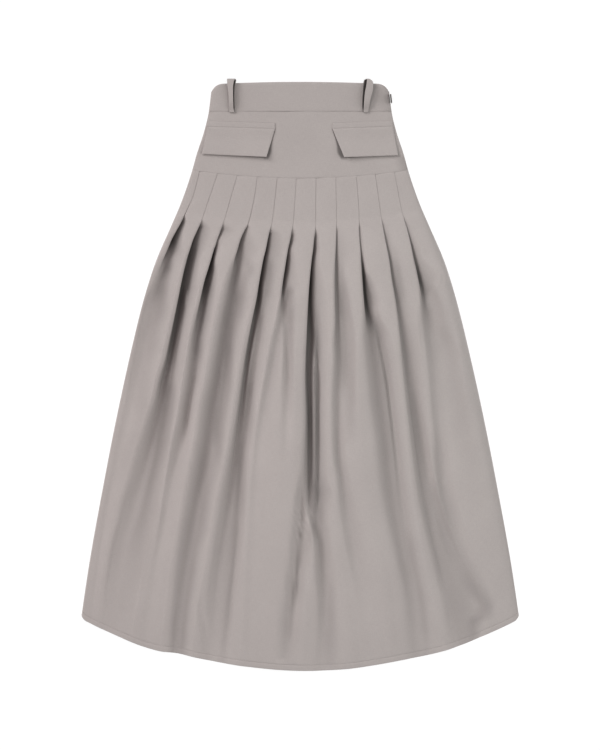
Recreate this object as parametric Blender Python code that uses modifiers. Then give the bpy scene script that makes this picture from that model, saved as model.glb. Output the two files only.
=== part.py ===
# A pleated skirt laid flat on a surface, front up, with its waist towards +Y.
# The origin is on the surface, under the middle of the garment.
# Left and right are those of someone who looks down at the front.
import math

import bmesh
import bpy
from mathutils import Matrix

MM = 0.001

# Heights of the main lines on the centre line, in millimetres from the origin.
WAIST_TOP_Y = 498.5
WAIST_SEAM_Y = 448.5
PLEAT_SEAM_Y = 335.0
HEM_Y = -502.8

# How the main lines curve: radii of their arcs, and of the corners.
WAIST_TOP_RADIUS = 1460.0
PLEAT_SEAM_RADIUS = 1250.0
HEM_RADIUS = 807.0
WAIST_CORNER = 20.0
HEM_CORNER = 9.0
CORNER_REACH = 0.92

# Cloth walls, and the gap between two pieces that are sewn together.
SEAM_GAP = 0.3
EDGE_RISE = 0.3
SKIRT_WALL = 1.0
YOKE_WALL = 1.2
BAND_WALL = 2.0
FLAP_WALL = 1.6
WELT_WALL = 1.2
LOOP_WALL = 1.6

# Outline: distance below the top of the waist, half the width there.
OUTLINE = (
    (0.0, 149.5),
    (51.0, 155.5),
    (82.0, 163.0),
    (122.0, 176.0),
    (153.0, 184.5),
    (204.0, 202.0),
    (245.0, 219.5),
    (306.0, 245.5),
    (367.0, 264.5),
    (449.0, 285.0),
    (571.0, 312.0),
    (694.0, 336.0),
    (816.0, 358.0),
    (909.0, 372.0),
)

# Stations down the pleats, as fractions of the way from their seam to the hem.
# The pleats are sewn down as far as the second one.
EDGE_STATIONS = (0.0, 0.095, 0.25, 0.45, 0.70, 1.0)
OPEN_STATIONS = (0.13, 0.25, 0.45, 0.70, 1.0)
SEWN_TO = 0.095
OPEN_FROM = 0.13

# Folded edge of each pleat, left to right: x at each of the edge stations.
FOLD_EDGE = (
    (-170.5, -196.0, -243.5, -272.5, -316.0, -345.0),
    (-139.0, -165.0, -204.5, -239.0, -289.5, -320.0),
    (-104.5, -128.0, -168.0, -194.0, -234.5, -271.5),
    (-75.0, -90.0, -127.0, -156.0, -190.5, -219.5),
    (-39.0, -49.0, -76.0, -103.0, -132.5, -165.0),
    (-7.5, -12.0, -32.5, -63.0, -82.0, -94.0),
    (26.0, 26.5, 13.5, 8.0, 3.0, 20.0),
    (61.5, 60.5, 59.0, 56.0, 73.0, 115.5),
    (97.0, 100.0, 107.5, 121.0, 148.0, 183.0),
    (127.5, 137.0, 159.0, 178.5, 207.0, 263.0),
    (160.0, 172.5, 203.0, 221.0, 247.0, 316.0),
)

# Width of the hollow beside that edge, at the open stations.
FOLD_WIDTH = (
    (13.0, 19.0, 20.0, 24.0, 26.0),
    (12.0, 19.0, 26.0, 42.0, 40.0),
    (5.0, 16.0, 24.0, 25.0, 30.0),
    (8.0, 26.0, 31.0, 31.0, 26.0),
    (6.0, 18.0, 25.0, 34.0, 38.0),
    (4.0, 11.0, 15.0, 18.0, 20.0),
    (4.0, 15.0, 26.0, 37.0, 38.0),
    (3.5, 14.0, 17.0, 21.0, 26.0),
    (3.5, 15.0, 34.0, 37.0, 34.0),
    (6.0, 14.0, 23.0, 33.0, 40.0),
    (4.0, 14.0, 18.0, 22.0, 30.0),
)

# Depth of the hollow, at the open stations.
FOLD_DEPTH = (
    (14.0, 8.0, 5.0, 2.0, 1.0),
    (14.0, 27.0, 20.0, 11.0, 1.5),
    (10.0, 22.0, 12.5, 6.0, 2.0),
    (12.0, 15.5, 17.0, 15.0, 6.0),
    (14.0, 27.0, 19.5, 13.0, 5.0),
    (10.0, 12.0, 4.5, 1.5, 0.8),
    (10.0, 27.0, 27.0, 14.0, 4.0),
    (7.0, 12.0, 8.0, 7.0, 1.0),
    (7.0, 22.0, 16.5, 14.0, 4.0),
    (5.5, 11.0, 12.5, 12.0, 6.0),
    (6.0, 13.0, 7.0, 4.0, 1.0),
)

# How far each fold has softened to a wave by the hem: 0 keeps its crisp edge.
FOLD_SOFTNESS = (1.0, 1.0, 1.0, 0.6, 0.6, 1.0, 0.85, 1.0, 0.75, 0.35, 1.0)
SOFT_FROM = 0.25
SOFT_BY = 0.75

# The sewn pleat: how far it lies under its edge, and the height from layer to layer.
# The first pleat is next to the side, so less of it fits there.
UNDERLAY = 16.0
SIDE_UNDERLAY = 7.0
LAYER = 1.4

# The open pleat: the height of the cloth between the hollows, and how far the cloth
# runs back under the folded edge, or out from it where the number is negative.
# Columns: fraction of the way down, crown height, run under the edge.
OPEN_PLEAT = (
    (0.0, 4.7, 16.0),
    (0.095, 5.4, 16.0),
    (0.13, 13.0, 7.0),
    (0.17, 20.0, 6.0),
    (0.25, 28.0, 5.0),
    (0.35, 31.0, 4.0),
    (0.45, 28.0, 3.0),
    (0.70, 17.0, 0.0),
    (1.0, 7.0, -2.0),
)
# A soft fold: place across it as a share of its width, height as a share of its depth.
SOFT_WAVE = (
    (-0.55, 1.0),
    (-0.32, 0.93),
    (-0.12, 0.76),
    (0.03, 0.52),
    (0.17, 0.26),
    (0.32, 0.07),
    (0.48, 0.0),
    (0.68, 0.12),
    (0.92, 0.5),
    (1.25, 0.93),
)
SOFT_BOTTOM = 0.5
FOLD_ROUNDING = 3.2
ROUNDING_SHARE = 0.28
SIDE_SLOPE = 0.30
# The least stretch of cloth between one fold and the next.
LEAST_FACE = 4.0

# Sections of the pleated front, closer where the pleats open.
SECTIONS = (0.0, 0.05, 0.095, 0.11, 0.13, 0.16, 0.20, 0.25, 0.32, 0.40, 0.50, 0.61, 0.73, 0.86, 1.0)

# Soft roll of each panel at the side, where it turns down to the back.
SKIRT_ROLL = 22.0
YOKE_ROLL = 15.0
BAND_ROLL = 12.0
YOKE_CROWN = 4.2
BAND_CROWN = 5.0
ROLL_STEPS = 4
PANEL_STEPS = 10
PATCH_STEPS = 12
BAND_STEPS = 5
YOKE_STEPS = 6
FLAP_STEPS = 5

# Pocket flaps, with corners as (x, y) and the lift of each lower corner off the yoke.
FLAPS = {
    "left": {
        "top_outer": (-157.0, 422.0),
        "top_inner": (-42.8, 418.6),
        "low_inner": (-57.3, 370.2),
        "low_outer": (-167.0, 375.6),
    },
    "right": {
        "top_outer": (157.5, 422.6),
        "top_inner": (54.9, 418.6),
        "low_inner": (74.8, 369.8),
        "low_outer": (166.0, 373.2),
    },
}
FLAP_LIFT_OUTER = 1.5
FLAP_LIFT_INNER = 5.0
WELT_HEIGHT = 9.5

# Belt loops: middle of each, and the side that stands up more, towards the centre.
LOOP_WIDTH = 15.0
LOOP_MIDDLE = {"left": -116.8, "right": 114.0}
LOOP_TILT = 1.4
# The strap's way from its lower end over the top of the band: y, height over the band.
LOOP_WAY = (
    (444.5, 1.1),
    (451.0, 1.1),
    (456.0, 3.2),
    (461.0, 6.6),
    (467.0, 8.0),
    (478.0, 8.4),
    (489.0, 8.2),
    (496.5, 7.2),
    (500.6, 4.8),
    (502.0, 1.8),
    (501.0, -0.9),
    (498.2, -1.9),
    (495.0, -1.9),
)

# The button of the side closure, seen on its edge.
BUTTON_Y = 469.5
BUTTON_RADIUS = 8.0
BUTTON_THICKNESS = 2.4
BUTTON_TILT = math.radians(5.0)

CLOTH_COLOUR = (0.42, 0.385, 0.37, 1.0)
BUTTON_COLOUR = (0.075, 0.062, 0.055, 1.0)


def read_table(rows, at, column=1):
    # A smooth curve through a table's rows, with the first column as its position.
    places = [row[0] for row in rows]
    values = [row[column] for row in rows]
    return smooth(places, values, at)


def smooth(places, values, at):
    # Cubic pieces whose slopes never overshoot the values.
    last = len(places) - 1
    if at <= places[0]:
        return values[0]
    if at >= places[last]:
        return values[last]
    gaps = [places[i + 1] - places[i] for i in range(last)]
    rises = [(values[i + 1] - values[i]) / gaps[i] for i in range(last)]
    slopes = [rises[0]]
    for i in range(1, last):
        if rises[i - 1] * rises[i] <= 0.0:
            slopes.append(0.0)
        else:
            slopes.append(2.0 * rises[i - 1] * rises[i] / (rises[i - 1] + rises[i]))
    slopes.append(rises[-1])
    k = max(i for i in range(last) if places[i] <= at)
    t = (at - places[k]) / gaps[k]
    start = values[k] * (1.0 + 2.0 * t) * (1.0 - t) ** 2 + slopes[k] * gaps[k] * t * (1.0 - t) ** 2
    end = values[k + 1] * t * t * (3.0 - 2.0 * t) - slopes[k + 1] * gaps[k] * t * t * (1.0 - t)
    return start + end


def blend(low, high, share):
    return low + (high - low) * share


def ease(low, high, at):
    t = min(1.0, max(0.0, (at - low) / (high - low)))
    return t * t * (3.0 - 2.0 * t)


def half_width(y):
    return read_table(OUTLINE, WAIST_TOP_Y - y)


def arc_rise(radius, x):
    return radius - math.sqrt(radius * radius - x * x)


def corner_cut(x, half, corner):
    # How far a rounded corner stands back from the straight line through it.
    into = min(CORNER_REACH * corner, max(0.0, abs(x) - (half - corner)))
    return corner - math.sqrt(corner * corner - into * into)


def seam_y(x):
    return PLEAT_SEAM_Y + arc_rise(PLEAT_SEAM_RADIUS, x)


def hem_y(x):
    half = OUTLINE[-1][1]
    return HEM_Y + arc_rise(HEM_RADIUS, x) + corner_cut(x, half, HEM_CORNER)


def band_top_half():
    return half_width(WAIST_TOP_Y - WAIST_CORNER)


def waist_top_y(x):
    return WAIST_TOP_Y - arc_rise(WAIST_TOP_RADIUS, x) - corner_cut(x, band_top_half(), WAIST_CORNER)


def section_half(down):
    # Half the skirt's width at a fraction of the way from the pleat seam to the hem.
    side = blend(seam_y(half_width(PLEAT_SEAM_Y)), hem_y(OUTLINE[-1][1]), down)
    return half_width(side)


def section_y(x, down):
    across = x / section_half(down)
    across = min(1.0, max(-1.0, across))
    return blend(seam_y(across * section_half(0.0)), hem_y(across * section_half(1.0)), down)


def crown_height(x, down):
    across = abs(x) / section_half(down)
    full = read_table(OPEN_PLEAT, down, 1)
    return full * (1.0 - SIDE_SLOPE * across ** 3 * ease(SEWN_TO, OPEN_FROM, down))


def sewn_fold(edge, under, low):
    # Three layers on each other: over, back under the edge, and out again.
    middle = low + LAYER
    top = low + 2.0 * LAYER
    turn = 0.5 * LAYER
    return [
        (edge - 4.0 * turn, top),
        (edge - turn, top),
        (edge, top - turn),
        (edge - turn, middle),
        (edge - under + turn, middle),
        (edge - under, middle - turn),
        (edge - under + turn, low),
        (edge + 1.0, low),
        (edge + 3.2, blend(low, top, 0.6)),
        (edge + 12.0, top),
    ]


def crisp_fold(edge, under, width, low, top, next_top):
    # A folded edge that stands over a hollow, and the wall up to the next stretch.
    depth = top - low
    climb = next_top - low
    rounding = min(FOLD_ROUNDING, ROUNDING_SHARE * depth)
    far = edge + width
    foot = edge - under
    floor = foot + 1.3 * rounding
    return [
        (edge - 2.2 * rounding, top),
        (edge - 0.7 * rounding, top - 0.28 * rounding),
        (edge, top - rounding),
        (blend(edge, foot, 0.18) - 0.2 * rounding, top - 1.8 * rounding),
        (foot, low + 1.5 * rounding),
        (foot + 0.3 * rounding, low + 0.45 * rounding),
        (floor, low),
        (blend(floor, far, 0.55), low + 0.07 * climb),
        (blend(floor, far, 0.88), low + 0.55 * climb),
        (far + 0.8 * rounding, next_top - 0.06 * climb),
    ]


def soft_fold(edge, width, low, top, next_top):
    # The same points spread over a soft wave.
    return [
        (edge + across * width, blend(low, next_top if across > SOFT_BOTTOM else top, level))
        for across, level in SOFT_WAVE
    ]


def squeezed(folds, edges):
    # Narrows the facing sides of two folds where they would run into each other.
    left_shares = [1.0] * len(folds)
    right_shares = [1.0] * len(folds)
    for i in range(len(folds) - 1):
        room = edges[i + 1] - edges[i] - LEAST_FACE
        wanted = folds[i][-1][0] - edges[i] + edges[i + 1] - folds[i + 1][0][0]
        share = min(1.0, room / wanted)
        right_shares[i] = share
        left_shares[i + 1] = share
    fitted = []
    for fold, edge, left, right in zip(folds, edges, left_shares, right_shares):
        fitted.append([(edge + (x - edge) * (left if x < edge else right), z) for x, z in fold])
    return fitted


def pleat_section(down):
    # The whole front at one station, from the left side to the right, as (x, height).
    half = section_half(down) - 0.5 * SKIRT_WALL
    ground = SKIRT_WALL + SEAM_GAP + EDGE_RISE
    lowest = SKIRT_WALL + SEAM_GAP + 0.6 * SKIRT_WALL
    opened = ease(SEWN_TO, OPEN_FROM, down)
    edges = [smooth(EDGE_STATIONS, places, down) for places in FOLD_EDGE]
    folds = []
    for number, edge in enumerate(edges):
        width = smooth(OPEN_STATIONS, FOLD_WIDTH[number], down)
        top = crown_height(edge, down)
        next_top = crown_height(edge + width, down)
        depth = min(smooth(OPEN_STATIONS, FOLD_DEPTH[number], down), top - lowest)
        low = top - depth
        under = read_table(OPEN_PLEAT, down, 2)
        sewn_under = SIDE_UNDERLAY if number == 0 else UNDERLAY
        soft = FOLD_SOFTNESS[number] * ease(SOFT_FROM, SOFT_BY, down)
        sewn = sewn_fold(edge, sewn_under, lowest)
        crisp = crisp_fold(edge, min(under, sewn_under), width, low, top, next_top)
        wave = soft_fold(edge, width, low, top, next_top)
        folds.append(mixed(sewn, mixed(crisp, wave, soft), opened))
    folds = squeezed(folds, edges)

    left_crown = folds[0][0]
    right_start = folds[-1][-1]
    left_roll = min(SKIRT_ROLL, 0.7 * (left_crown[0] + half))
    right_roll = min(SKIRT_ROLL, 0.7 * (half - right_start[0]))
    right_top = crown_height(half - right_roll, down)
    points = []
    for step in range(ROLL_STEPS + 1):
        angle = 0.5 * math.pi * step / ROLL_STEPS
        height = blend(ground, left_crown[1], math.sin(angle))
        points.append((-half + left_roll * (1.0 - math.cos(angle)), height))
    for number, fold in enumerate(folds):
        points += fold
        if number + 1 < len(folds):
            here = fold[-1]
            there = folds[number + 1][0]
            points.append((blend(here[0], there[0], 0.5), blend(here[1], there[1], 0.7)))
    for step in range(ROLL_STEPS + 1):
        angle = 0.5 * math.pi * (ROLL_STEPS - step) / ROLL_STEPS
        height = blend(ground, right_top, math.sin(angle))
        points.append((half - right_roll * (1.0 - math.cos(angle)), height))
    return points


def mixed(first, second, share):
    return [(blend(a[0], b[0], share), blend(a[1], b[1], share)) for a, b in zip(first, second)]


def panel_height(x, half, ground, crown, roll):
    # A flat panel whose sides roll down to the panel below.
    share = min(1.0, max(0.0, (half - abs(x)) / roll))
    return blend(ground, crown, math.sqrt(1.0 - (1.0 - share) ** 2))


def across_places(half, roll):
    # Places across a panel, closer together on its rolled sides.
    rolled = [half - roll * (1.0 - math.cos(0.5 * math.pi * i / ROLL_STEPS)) for i in range(ROLL_STEPS)]
    inner = half - roll
    flat = [blend(-inner, inner, i / PANEL_STEPS) for i in range(PANEL_STEPS + 1)]
    return [-x for x in rolled] + flat + list(reversed(rolled))


def yoke_height(x, y):
    half = half_width(y) - 0.5 * YOKE_WALL
    ground = YOKE_WALL + SEAM_GAP + EDGE_RISE
    return panel_height(x, half, ground, YOKE_CROWN, YOKE_ROLL)


def band_height(x, y):
    half = half_width(y) - 0.5 * BAND_WALL
    ground = BAND_WALL + SEAM_GAP + 2.0 * EDGE_RISE
    return panel_height(x, half, ground, BAND_CROWN, BAND_ROLL)


def material(name, colour, roughness):
    made = bpy.data.materials.new(name)
    made.use_nodes = True
    shader = made.node_tree.nodes["Principled BSDF"]
    shader.inputs["Base Color"].default_value = colour
    shader.inputs["Roughness"].default_value = roughness
    shader.inputs["Metallic"].default_value = 0.0
    made.diffuse_color = colour
    return made


def cloth(name):
    return material(name + "_cloth", CLOTH_COLOUR, 0.9)


def sheet(name, rows, wall, side, parts):
    # A loft through rows of points, in millimetres, made into a wall.
    # side is 0 for a wall about the points, and 1 for a wall above them.
    mesh = bpy.data.meshes.new(name)
    build = bmesh.new()
    grid = [[build.verts.new((x * MM, y * MM, z * MM)) for x, y, z in row] for row in rows]
    for upper, lower in zip(grid, grid[1:]):
        for i in range(len(upper) - 1):
            build.faces.new((upper[i], lower[i], lower[i + 1], upper[i + 1]))
    build.to_mesh(mesh)
    build.free()
    piece = bpy.data.objects.new(name, mesh)
    parts.objects.link(piece)
    mesh.materials.append(cloth(name))
    thick = piece.modifiers.new("wall", "SOLIDIFY")
    thick.thickness = wall * MM
    thick.offset = side
    return piece


def make_front_skirt(parts):
    rows = []
    for down in SECTIONS:
        gap = 0.5 * SEAM_GAP * (1.0 - down)
        rows.append([(x, section_y(x, down) - gap, z) for x, z in pleat_section(down)])
    return sheet("front_skirt", rows, SKIRT_WALL, 0.0, parts)


def make_back_skirt(parts):
    rows = []
    for down in SECTIONS:
        half = section_half(down)
        gap = 0.5 * SEAM_GAP * (1.0 - down)
        rows.append([(x, section_y(x, down) - gap, 0.0) for x in across_places(half, SKIRT_ROLL)])
    return sheet("back_skirt", rows, SKIRT_WALL, 1.0, parts)


def yoke_rows(inset, height):
    rows = []
    side_low = seam_y(half_width(PLEAT_SEAM_Y))
    for step in range(YOKE_STEPS + 1):
        share = step / YOKE_STEPS
        level = blend(WAIST_SEAM_Y, side_low, share)
        reach = half_width(level) - inset
        row = []
        for x in across_places(reach, YOKE_ROLL):
            y = blend(WAIST_SEAM_Y - 0.5 * SEAM_GAP, seam_y(x) + 0.5 * SEAM_GAP, share)
            row.append((x, y, height(x, level)))
        rows.append(row)
    return rows


def make_yokes(parts):
    sheet("front_yoke", yoke_rows(0.5 * YOKE_WALL, yoke_height), YOKE_WALL, 0.0, parts)
    sheet("back_yoke", yoke_rows(0.0, lambda x, y: 0.0), YOKE_WALL, 1.0, parts)


def band_rows(inset, height):
    rows = []
    side_top = waist_top_y(band_top_half())
    for step in range(BAND_STEPS + 1):
        share = step / BAND_STEPS
        level = blend(side_top, WAIST_SEAM_Y, share)
        reach = half_width(level) - inset
        row = []
        for x in across_places(reach, BAND_ROLL):
            top = waist_top_y(x * band_top_half() / (reach + inset))
            y = blend(top, WAIST_SEAM_Y + 0.5 * SEAM_GAP, share)
            row.append((x, y, height(x, level)))
        rows.append(row)
    return rows


def make_waistbands(parts):
    sheet("front_waistband", band_rows(0.5 * BAND_WALL, band_height), BAND_WALL, 0.0, parts)
    sheet("back_waistband", band_rows(0.0, lambda x, y: 0.0), BAND_WALL, 1.0, parts)


def patch_rows(corners, height, outer_first, steps_down):
    # A four-sided piece on the yoke, from its two upper corners to its two lower ones.
    # Its points are closer together towards the rolled side of the yoke.
    closer = [(k / PATCH_STEPS) ** 1.7 for k in range(PATCH_STEPS + 1)]
    if not outer_first:
        closer = [1.0 - share for share in reversed(closer)]
    rows = []
    for i in range(steps_down + 1):
        down = i / steps_down
        row = []
        for across in closer:
            upper = [blend(a, b, across) for a, b in zip(corners[0], corners[1])]
            lower = [blend(a, b, across) for a, b in zip(corners[3], corners[2])]
            x = blend(upper[0], lower[0], down)
            y = blend(upper[1], lower[1], down)
            row.append((x, y, height(x, y, across, down)))
        rows.append(row)
    return rows


def make_flap_and_welt(side, sizes, parts):
    # Corners run from the left to the right, so that both sides face up.
    outer_first = side == "left"
    top = (sizes["top_outer"], sizes["top_inner"])
    low = (sizes["low_outer"], sizes["low_inner"])
    if not outer_first:
        top = tuple(reversed(top))
        low = tuple(reversed(low))

    def flap_height(x, y, across, down):
        inner = across if outer_first else 1.0 - across
        lift = blend(FLAP_LIFT_OUTER, FLAP_LIFT_INNER, inner * inner) * down ** 1.5
        return yoke_height(x, y) + 0.5 * (YOKE_WALL + FLAP_WALL) + SEAM_GAP + lift

    def welt_height(x, y, across, down):
        return yoke_height(x, y) + 0.5 * (YOKE_WALL + WELT_WALL) + SEAM_GAP

    flap_corners = (top[0], top[1], low[1], low[0])
    sheet(side + "_flap", patch_rows(flap_corners, flap_height, outer_first, FLAP_STEPS), FLAP_WALL, 0.0, parts)
    base = [(x, y + SEAM_GAP) for x, y in top]
    crest = [(x, y + WELT_HEIGHT) for x, y in top]
    welt_corners = (crest[0], crest[1], base[1], base[0])
    sheet(side + "_welt", patch_rows(welt_corners, welt_height, outer_first, 1), WELT_WALL, 0.0, parts)


def make_belt_loop(side, middle, parts):
    # The strap leaves the band below, stands off it, and goes over its top edge.
    towards_centre = 1.0 if side == "left" else -1.0
    band_top = BAND_CROWN + 0.5 * BAND_WALL
    rows = []
    for y, over in LOOP_WAY:
        stands = min(1.0, max(0.0, over) / 6.0)
        row = []
        for across in (-1.0, 0.0, 1.0):
            tilt = LOOP_TILT * across * towards_centre * stands
            row.append((middle + 0.5 * LOOP_WIDTH * across, y, band_top + over + tilt))
        rows.append(row)
    rows.reverse()
    return sheet(side + "_belt_loop", rows, LOOP_WALL, 0.0, parts)


def make_button(parts):
    bpy.ops.mesh.primitive_cylinder_add(
        vertices=32,
        radius=BUTTON_RADIUS * MM,
        depth=BUTTON_THICKNESS * MM,
    )
    piece = bpy.context.active_object
    piece.name = "side_button"
    piece.data.name = "side_button"
    for owner in list(piece.users_collection):
        owner.objects.unlink(piece)
    parts.objects.link(piece)
    widening = half_width(BUTTON_Y - BUTTON_RADIUS) - half_width(BUTTON_Y + BUTTON_RADIUS)
    along_side = math.atan2(widening, 2.0 * BUTTON_RADIUS)
    turn = Matrix.Rotation(along_side, 4, "Z") @ Matrix.Rotation(0.5 * math.pi - BUTTON_TILT, 4, "Y")
    x = half_width(BUTTON_Y) + SEAM_GAP + 0.5 * BUTTON_THICKNESS
    z = BUTTON_RADIUS + SEAM_GAP
    piece.matrix_world = Matrix.Translation((x * MM, BUTTON_Y * MM, z * MM)) @ turn
    soften = piece.modifiers.new("rim", "BEVEL")
    soften.width = 0.5 * MM
    soften.segments = 2
    piece.data.materials.append(material("side_button_horn", BUTTON_COLOUR, 0.4))
    return piece


def clear_scene():
    for thing in list(bpy.data.objects):
        bpy.data.objects.remove(thing, do_unlink=True)


def main():
    clear_scene()
    parts = bpy.data.collections.new("pleated_skirt")
    bpy.context.scene.collection.children.link(parts)
    make_front_skirt(parts)
    make_back_skirt(parts)
    make_yokes(parts)
    make_waistbands(parts)
    for side, sizes in FLAPS.items():
        make_flap_and_welt(side, sizes, parts)
    for side, middle in LOOP_MIDDLE.items():
        make_belt_loop(side, middle, parts)
    make_button(parts)


main()
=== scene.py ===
import math

import bmesh
import bpy
import numpy as np
from mathutils import Matrix, Vector


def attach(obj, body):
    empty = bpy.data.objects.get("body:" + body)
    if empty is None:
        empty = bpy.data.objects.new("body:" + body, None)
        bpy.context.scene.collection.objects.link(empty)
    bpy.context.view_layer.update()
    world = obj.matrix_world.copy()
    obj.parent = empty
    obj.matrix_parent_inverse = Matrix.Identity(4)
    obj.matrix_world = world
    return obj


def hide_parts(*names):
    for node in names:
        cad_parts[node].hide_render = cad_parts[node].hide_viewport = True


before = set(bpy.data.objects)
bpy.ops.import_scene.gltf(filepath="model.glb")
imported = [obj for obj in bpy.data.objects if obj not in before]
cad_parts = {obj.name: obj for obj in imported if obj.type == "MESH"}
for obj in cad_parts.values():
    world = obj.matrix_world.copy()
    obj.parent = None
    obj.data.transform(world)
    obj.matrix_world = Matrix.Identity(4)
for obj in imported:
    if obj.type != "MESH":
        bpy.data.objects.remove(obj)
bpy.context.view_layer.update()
mm = 0.001

# The fold tables below are read off the picture: 1.7 mm for each step, from this centre.
reading = {"step": 1.7, "x": 300.2, "y": 375.25, "wide": 600, "high": 750}

# Main lines of the garment, in millimetres from the middle of the floor under it.
garment = {
    "outlineTop": 498.5,
    "waistTop": 497.7,
    "waistSeam": 448.5,
    "pleatSeam": 335.0,
    "hem": -502.8,
    "waistArc": 2800.0,
    "seamArc": 1250.0,
    "hemArc": 807.0,
    "waistCorner": 20.0,
    "hemCorner": 9.0,
    "cornerReach": 0.92,
    "seamGap": 0.3,
    "seamShare": 0.1,  # of the gap, that each piece stays back from a seam
    # the hem isn't an even arc: place across in the picture, how far lower it hangs, in steps
    "hemUneven": (
        (81, 0.5), (112, 0.8), (140, 1.6), (158, 0.9), (172, -1.3), (184, -2.5), (200, -2.4), (250, -2.0),
        (280, -1.5), (310, -0.8), (340, -0.5), (392, -0.8), (408, -0.3), (424, 0.7), (462, 1.7), (490, 0.9),
        (519, 0.8),
    ),
    # distance below the outline's top, half the width there
    "outline": (
        (0, 149.5), (51, 155.5), (82, 163), (122, 176), (153, 184.5), (204, 202), (245, 219.5),
        (306, 245.5), (367, 264.5), (449, 285), (571, 312), (694, 336), (816, 358), (909, 372),
    ),
}


def curveThrough(places, values):
    # a smooth curve through a table, whose slopes never overshoot it
    x = np.asarray(places, float)
    y = np.asarray(values, float)
    gaps = np.diff(x)
    rises = np.diff(y) / gaps
    slopes = np.empty_like(y)
    slopes[0], slopes[-1] = rises[0], rises[-1]
    product = rises[:-1] * rises[1:]
    total = np.where(product > 0, rises[:-1] + rises[1:], 1.0)
    slopes[1:-1] = np.where(product > 0, 2.0 * product / total, 0.0)

    def read(at):
        at = np.clip(at, x[0], x[-1])
        k = np.clip(np.searchsorted(x, at, side="right") - 1, 0, len(x) - 2)
        t = (at - x[k]) / gaps[k]
        start = y[k] * (1 + 2 * t) * (1 - t) ** 2 + slopes[k] * gaps[k] * t * (1 - t) ** 2
        end = y[k + 1] * t * t * (3 - 2 * t) - slopes[k + 1] * gaps[k] * t * t * (1 - t)
        return start + end

    return read


def tableCurve(rows, column=1):
    return curveThrough([row[0] for row in rows], [row[column] for row in rows])


def blend(low, high, share):
    return low + (high - low) * share


def ease(low, high, at):
    # 0 at the low end and 1 at the high end, whichever of them comes first
    t = np.clip((at - low) / (high - low), 0.0, 1.0)
    return t * t * (3 - 2 * t)


def hump(away, reach):
    # 1 in the middle and 0 from the reach on
    t = np.clip(np.abs(away) / reach, 0.0, 1.0)
    return (1 - t * t) ** 2


def fallAt(edge, near):
    # how far cloth rounds down beside an edge: depth there, and how far in it fades
    depth, fade = edge
    return depth * np.exp(-near / fade)


def slowWaves(waves, x, y):
    total = np.zeros_like(x)
    for height, first, second in waves:
        swings = [np.sin(x * a + y * b + shift) for a, b, shift in (first, second)]
        total += height * swings[0] * swings[1]
    return total


outlineCurve = tableCurve(garment["outline"])
hemHalf = garment["outline"][-1][1]


def halfWidth(y):
    return outlineCurve(garment["outlineTop"] - y)


def arcRise(radius, x):
    return radius - np.sqrt(radius * radius - x * x)


def cornerCut(x, half, corner):
    into = np.clip(np.abs(x) - (half - corner), 0.0, garment["cornerReach"] * corner)
    return corner - np.sqrt(corner * corner - into * into)


def seamY(x):
    return garment["pleatSeam"] + arcRise(garment["seamArc"], x)


hemUneven = tableCurve(garment["hemUneven"])


def hemY(x):
    uneven = hemUneven(reading["x"] + np.asarray(x) / reading["step"]) * reading["step"]
    arc = arcRise(garment["hemArc"], x)
    return garment["hem"] - uneven + arc + cornerCut(x, hemHalf, garment["hemCorner"])


bandTopHalf = float(halfWidth(garment["waistTop"] - garment["waistCorner"]))


def waistTopY(x):
    arc = arcRise(garment["waistArc"], x)
    return garment["waistTop"] - arc - cornerCut(x, bandTopHalf, garment["waistCorner"])


seamHalf = float(halfWidth(garment["pleatSeam"]))
sideSeamY, sideHemY = float(seamY(seamHalf)), float(hemY(hemHalf))
seamShift = garment["seamShare"] * garment["seamGap"]


def sectionHalf(down):
    return halfWidth(blend(sideSeamY, sideHemY, down))


def sectionY(x, down):
    across = np.clip(x / sectionHalf(down), -1.0, 1.0)
    return blend(seamY(across * sectionHalf(0.0)), hemY(across * sectionHalf(1.0)), down)


def downAt(x, y, rounds=30):
    # how far down the pleats a point lies, by halving
    low, high = 0.0, 1.0
    for _ in range(rounds):
        middle = 0.5 * (low + high)
        if sectionY(x, middle) > y:
            low = middle
        else:
            high = middle
    return 0.5 * (low + high)


# Mesh helpers.


def linked(name, data):
    # a mesh, a light or the camera, placed in the scene
    piece = bpy.data.objects.new(name, data)
    bpy.context.scene.collection.objects.link(piece)
    return piece


def meshPiece(name, points, faces):
    mesh = bpy.data.meshes.new(name)
    mesh.from_pydata(points, [], faces)
    return linked(name, mesh)


def clothMesh(name, rows, wall, side, shade=None, grain=None):
    # rows of points in millimetres, made into a thin wall about or above them
    rows = np.asarray(rows, float)
    count, wide = rows.shape[:2]
    index = np.arange(count * wide).reshape(count, wide)
    faces = np.stack([index[:-1, :-1], index[1:, :-1], index[1:, 1:], index[:-1, 1:]], -1)
    piece = meshPiece(name, (rows.reshape(-1, 3) * mm).tolist(), faces.reshape(-1, 4).tolist())
    mesh = piece.data
    mesh.shade_smooth()
    if grain is None:
        grain = rows[..., :2] * mm
    flatGrain = np.asarray(grain, float).reshape(-1, 2)
    layer = mesh.uv_layers.new(name="grain")
    corners = np.empty(len(mesh.loops), int)
    mesh.loops.foreach_get("vertex_index", corners)
    layer.data.foreach_set("uv", flatGrain[corners].ravel().astype(np.float32))
    # painted shade, which the material mixes into the colour
    dark = mesh.attributes.new("foldShade", "FLOAT", "POINT")
    if shade is not None:
        dark.data.foreach_set("value", np.asarray(shade, float).ravel().astype(np.float32))
    thick = piece.modifiers.new("wall", "SOLIDIFY")
    thick.thickness = wall * mm
    thick.offset = side
    return piece


def dress(piece, material, node=None):
    # the finish and the place in the frame that every piece gets
    piece.data.materials.clear()
    piece.data.materials.append(material)
    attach(piece, "root")
    if node:
        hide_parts(node)
    return piece


def sewn(node, name, rows, wall, side=0.0, shade=None, grain=None):
    # a piece of the garment's own cloth, in the place of a node
    return dress(clothMesh(name, rows, wall, side, shade, grain), cloth, node)


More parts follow.
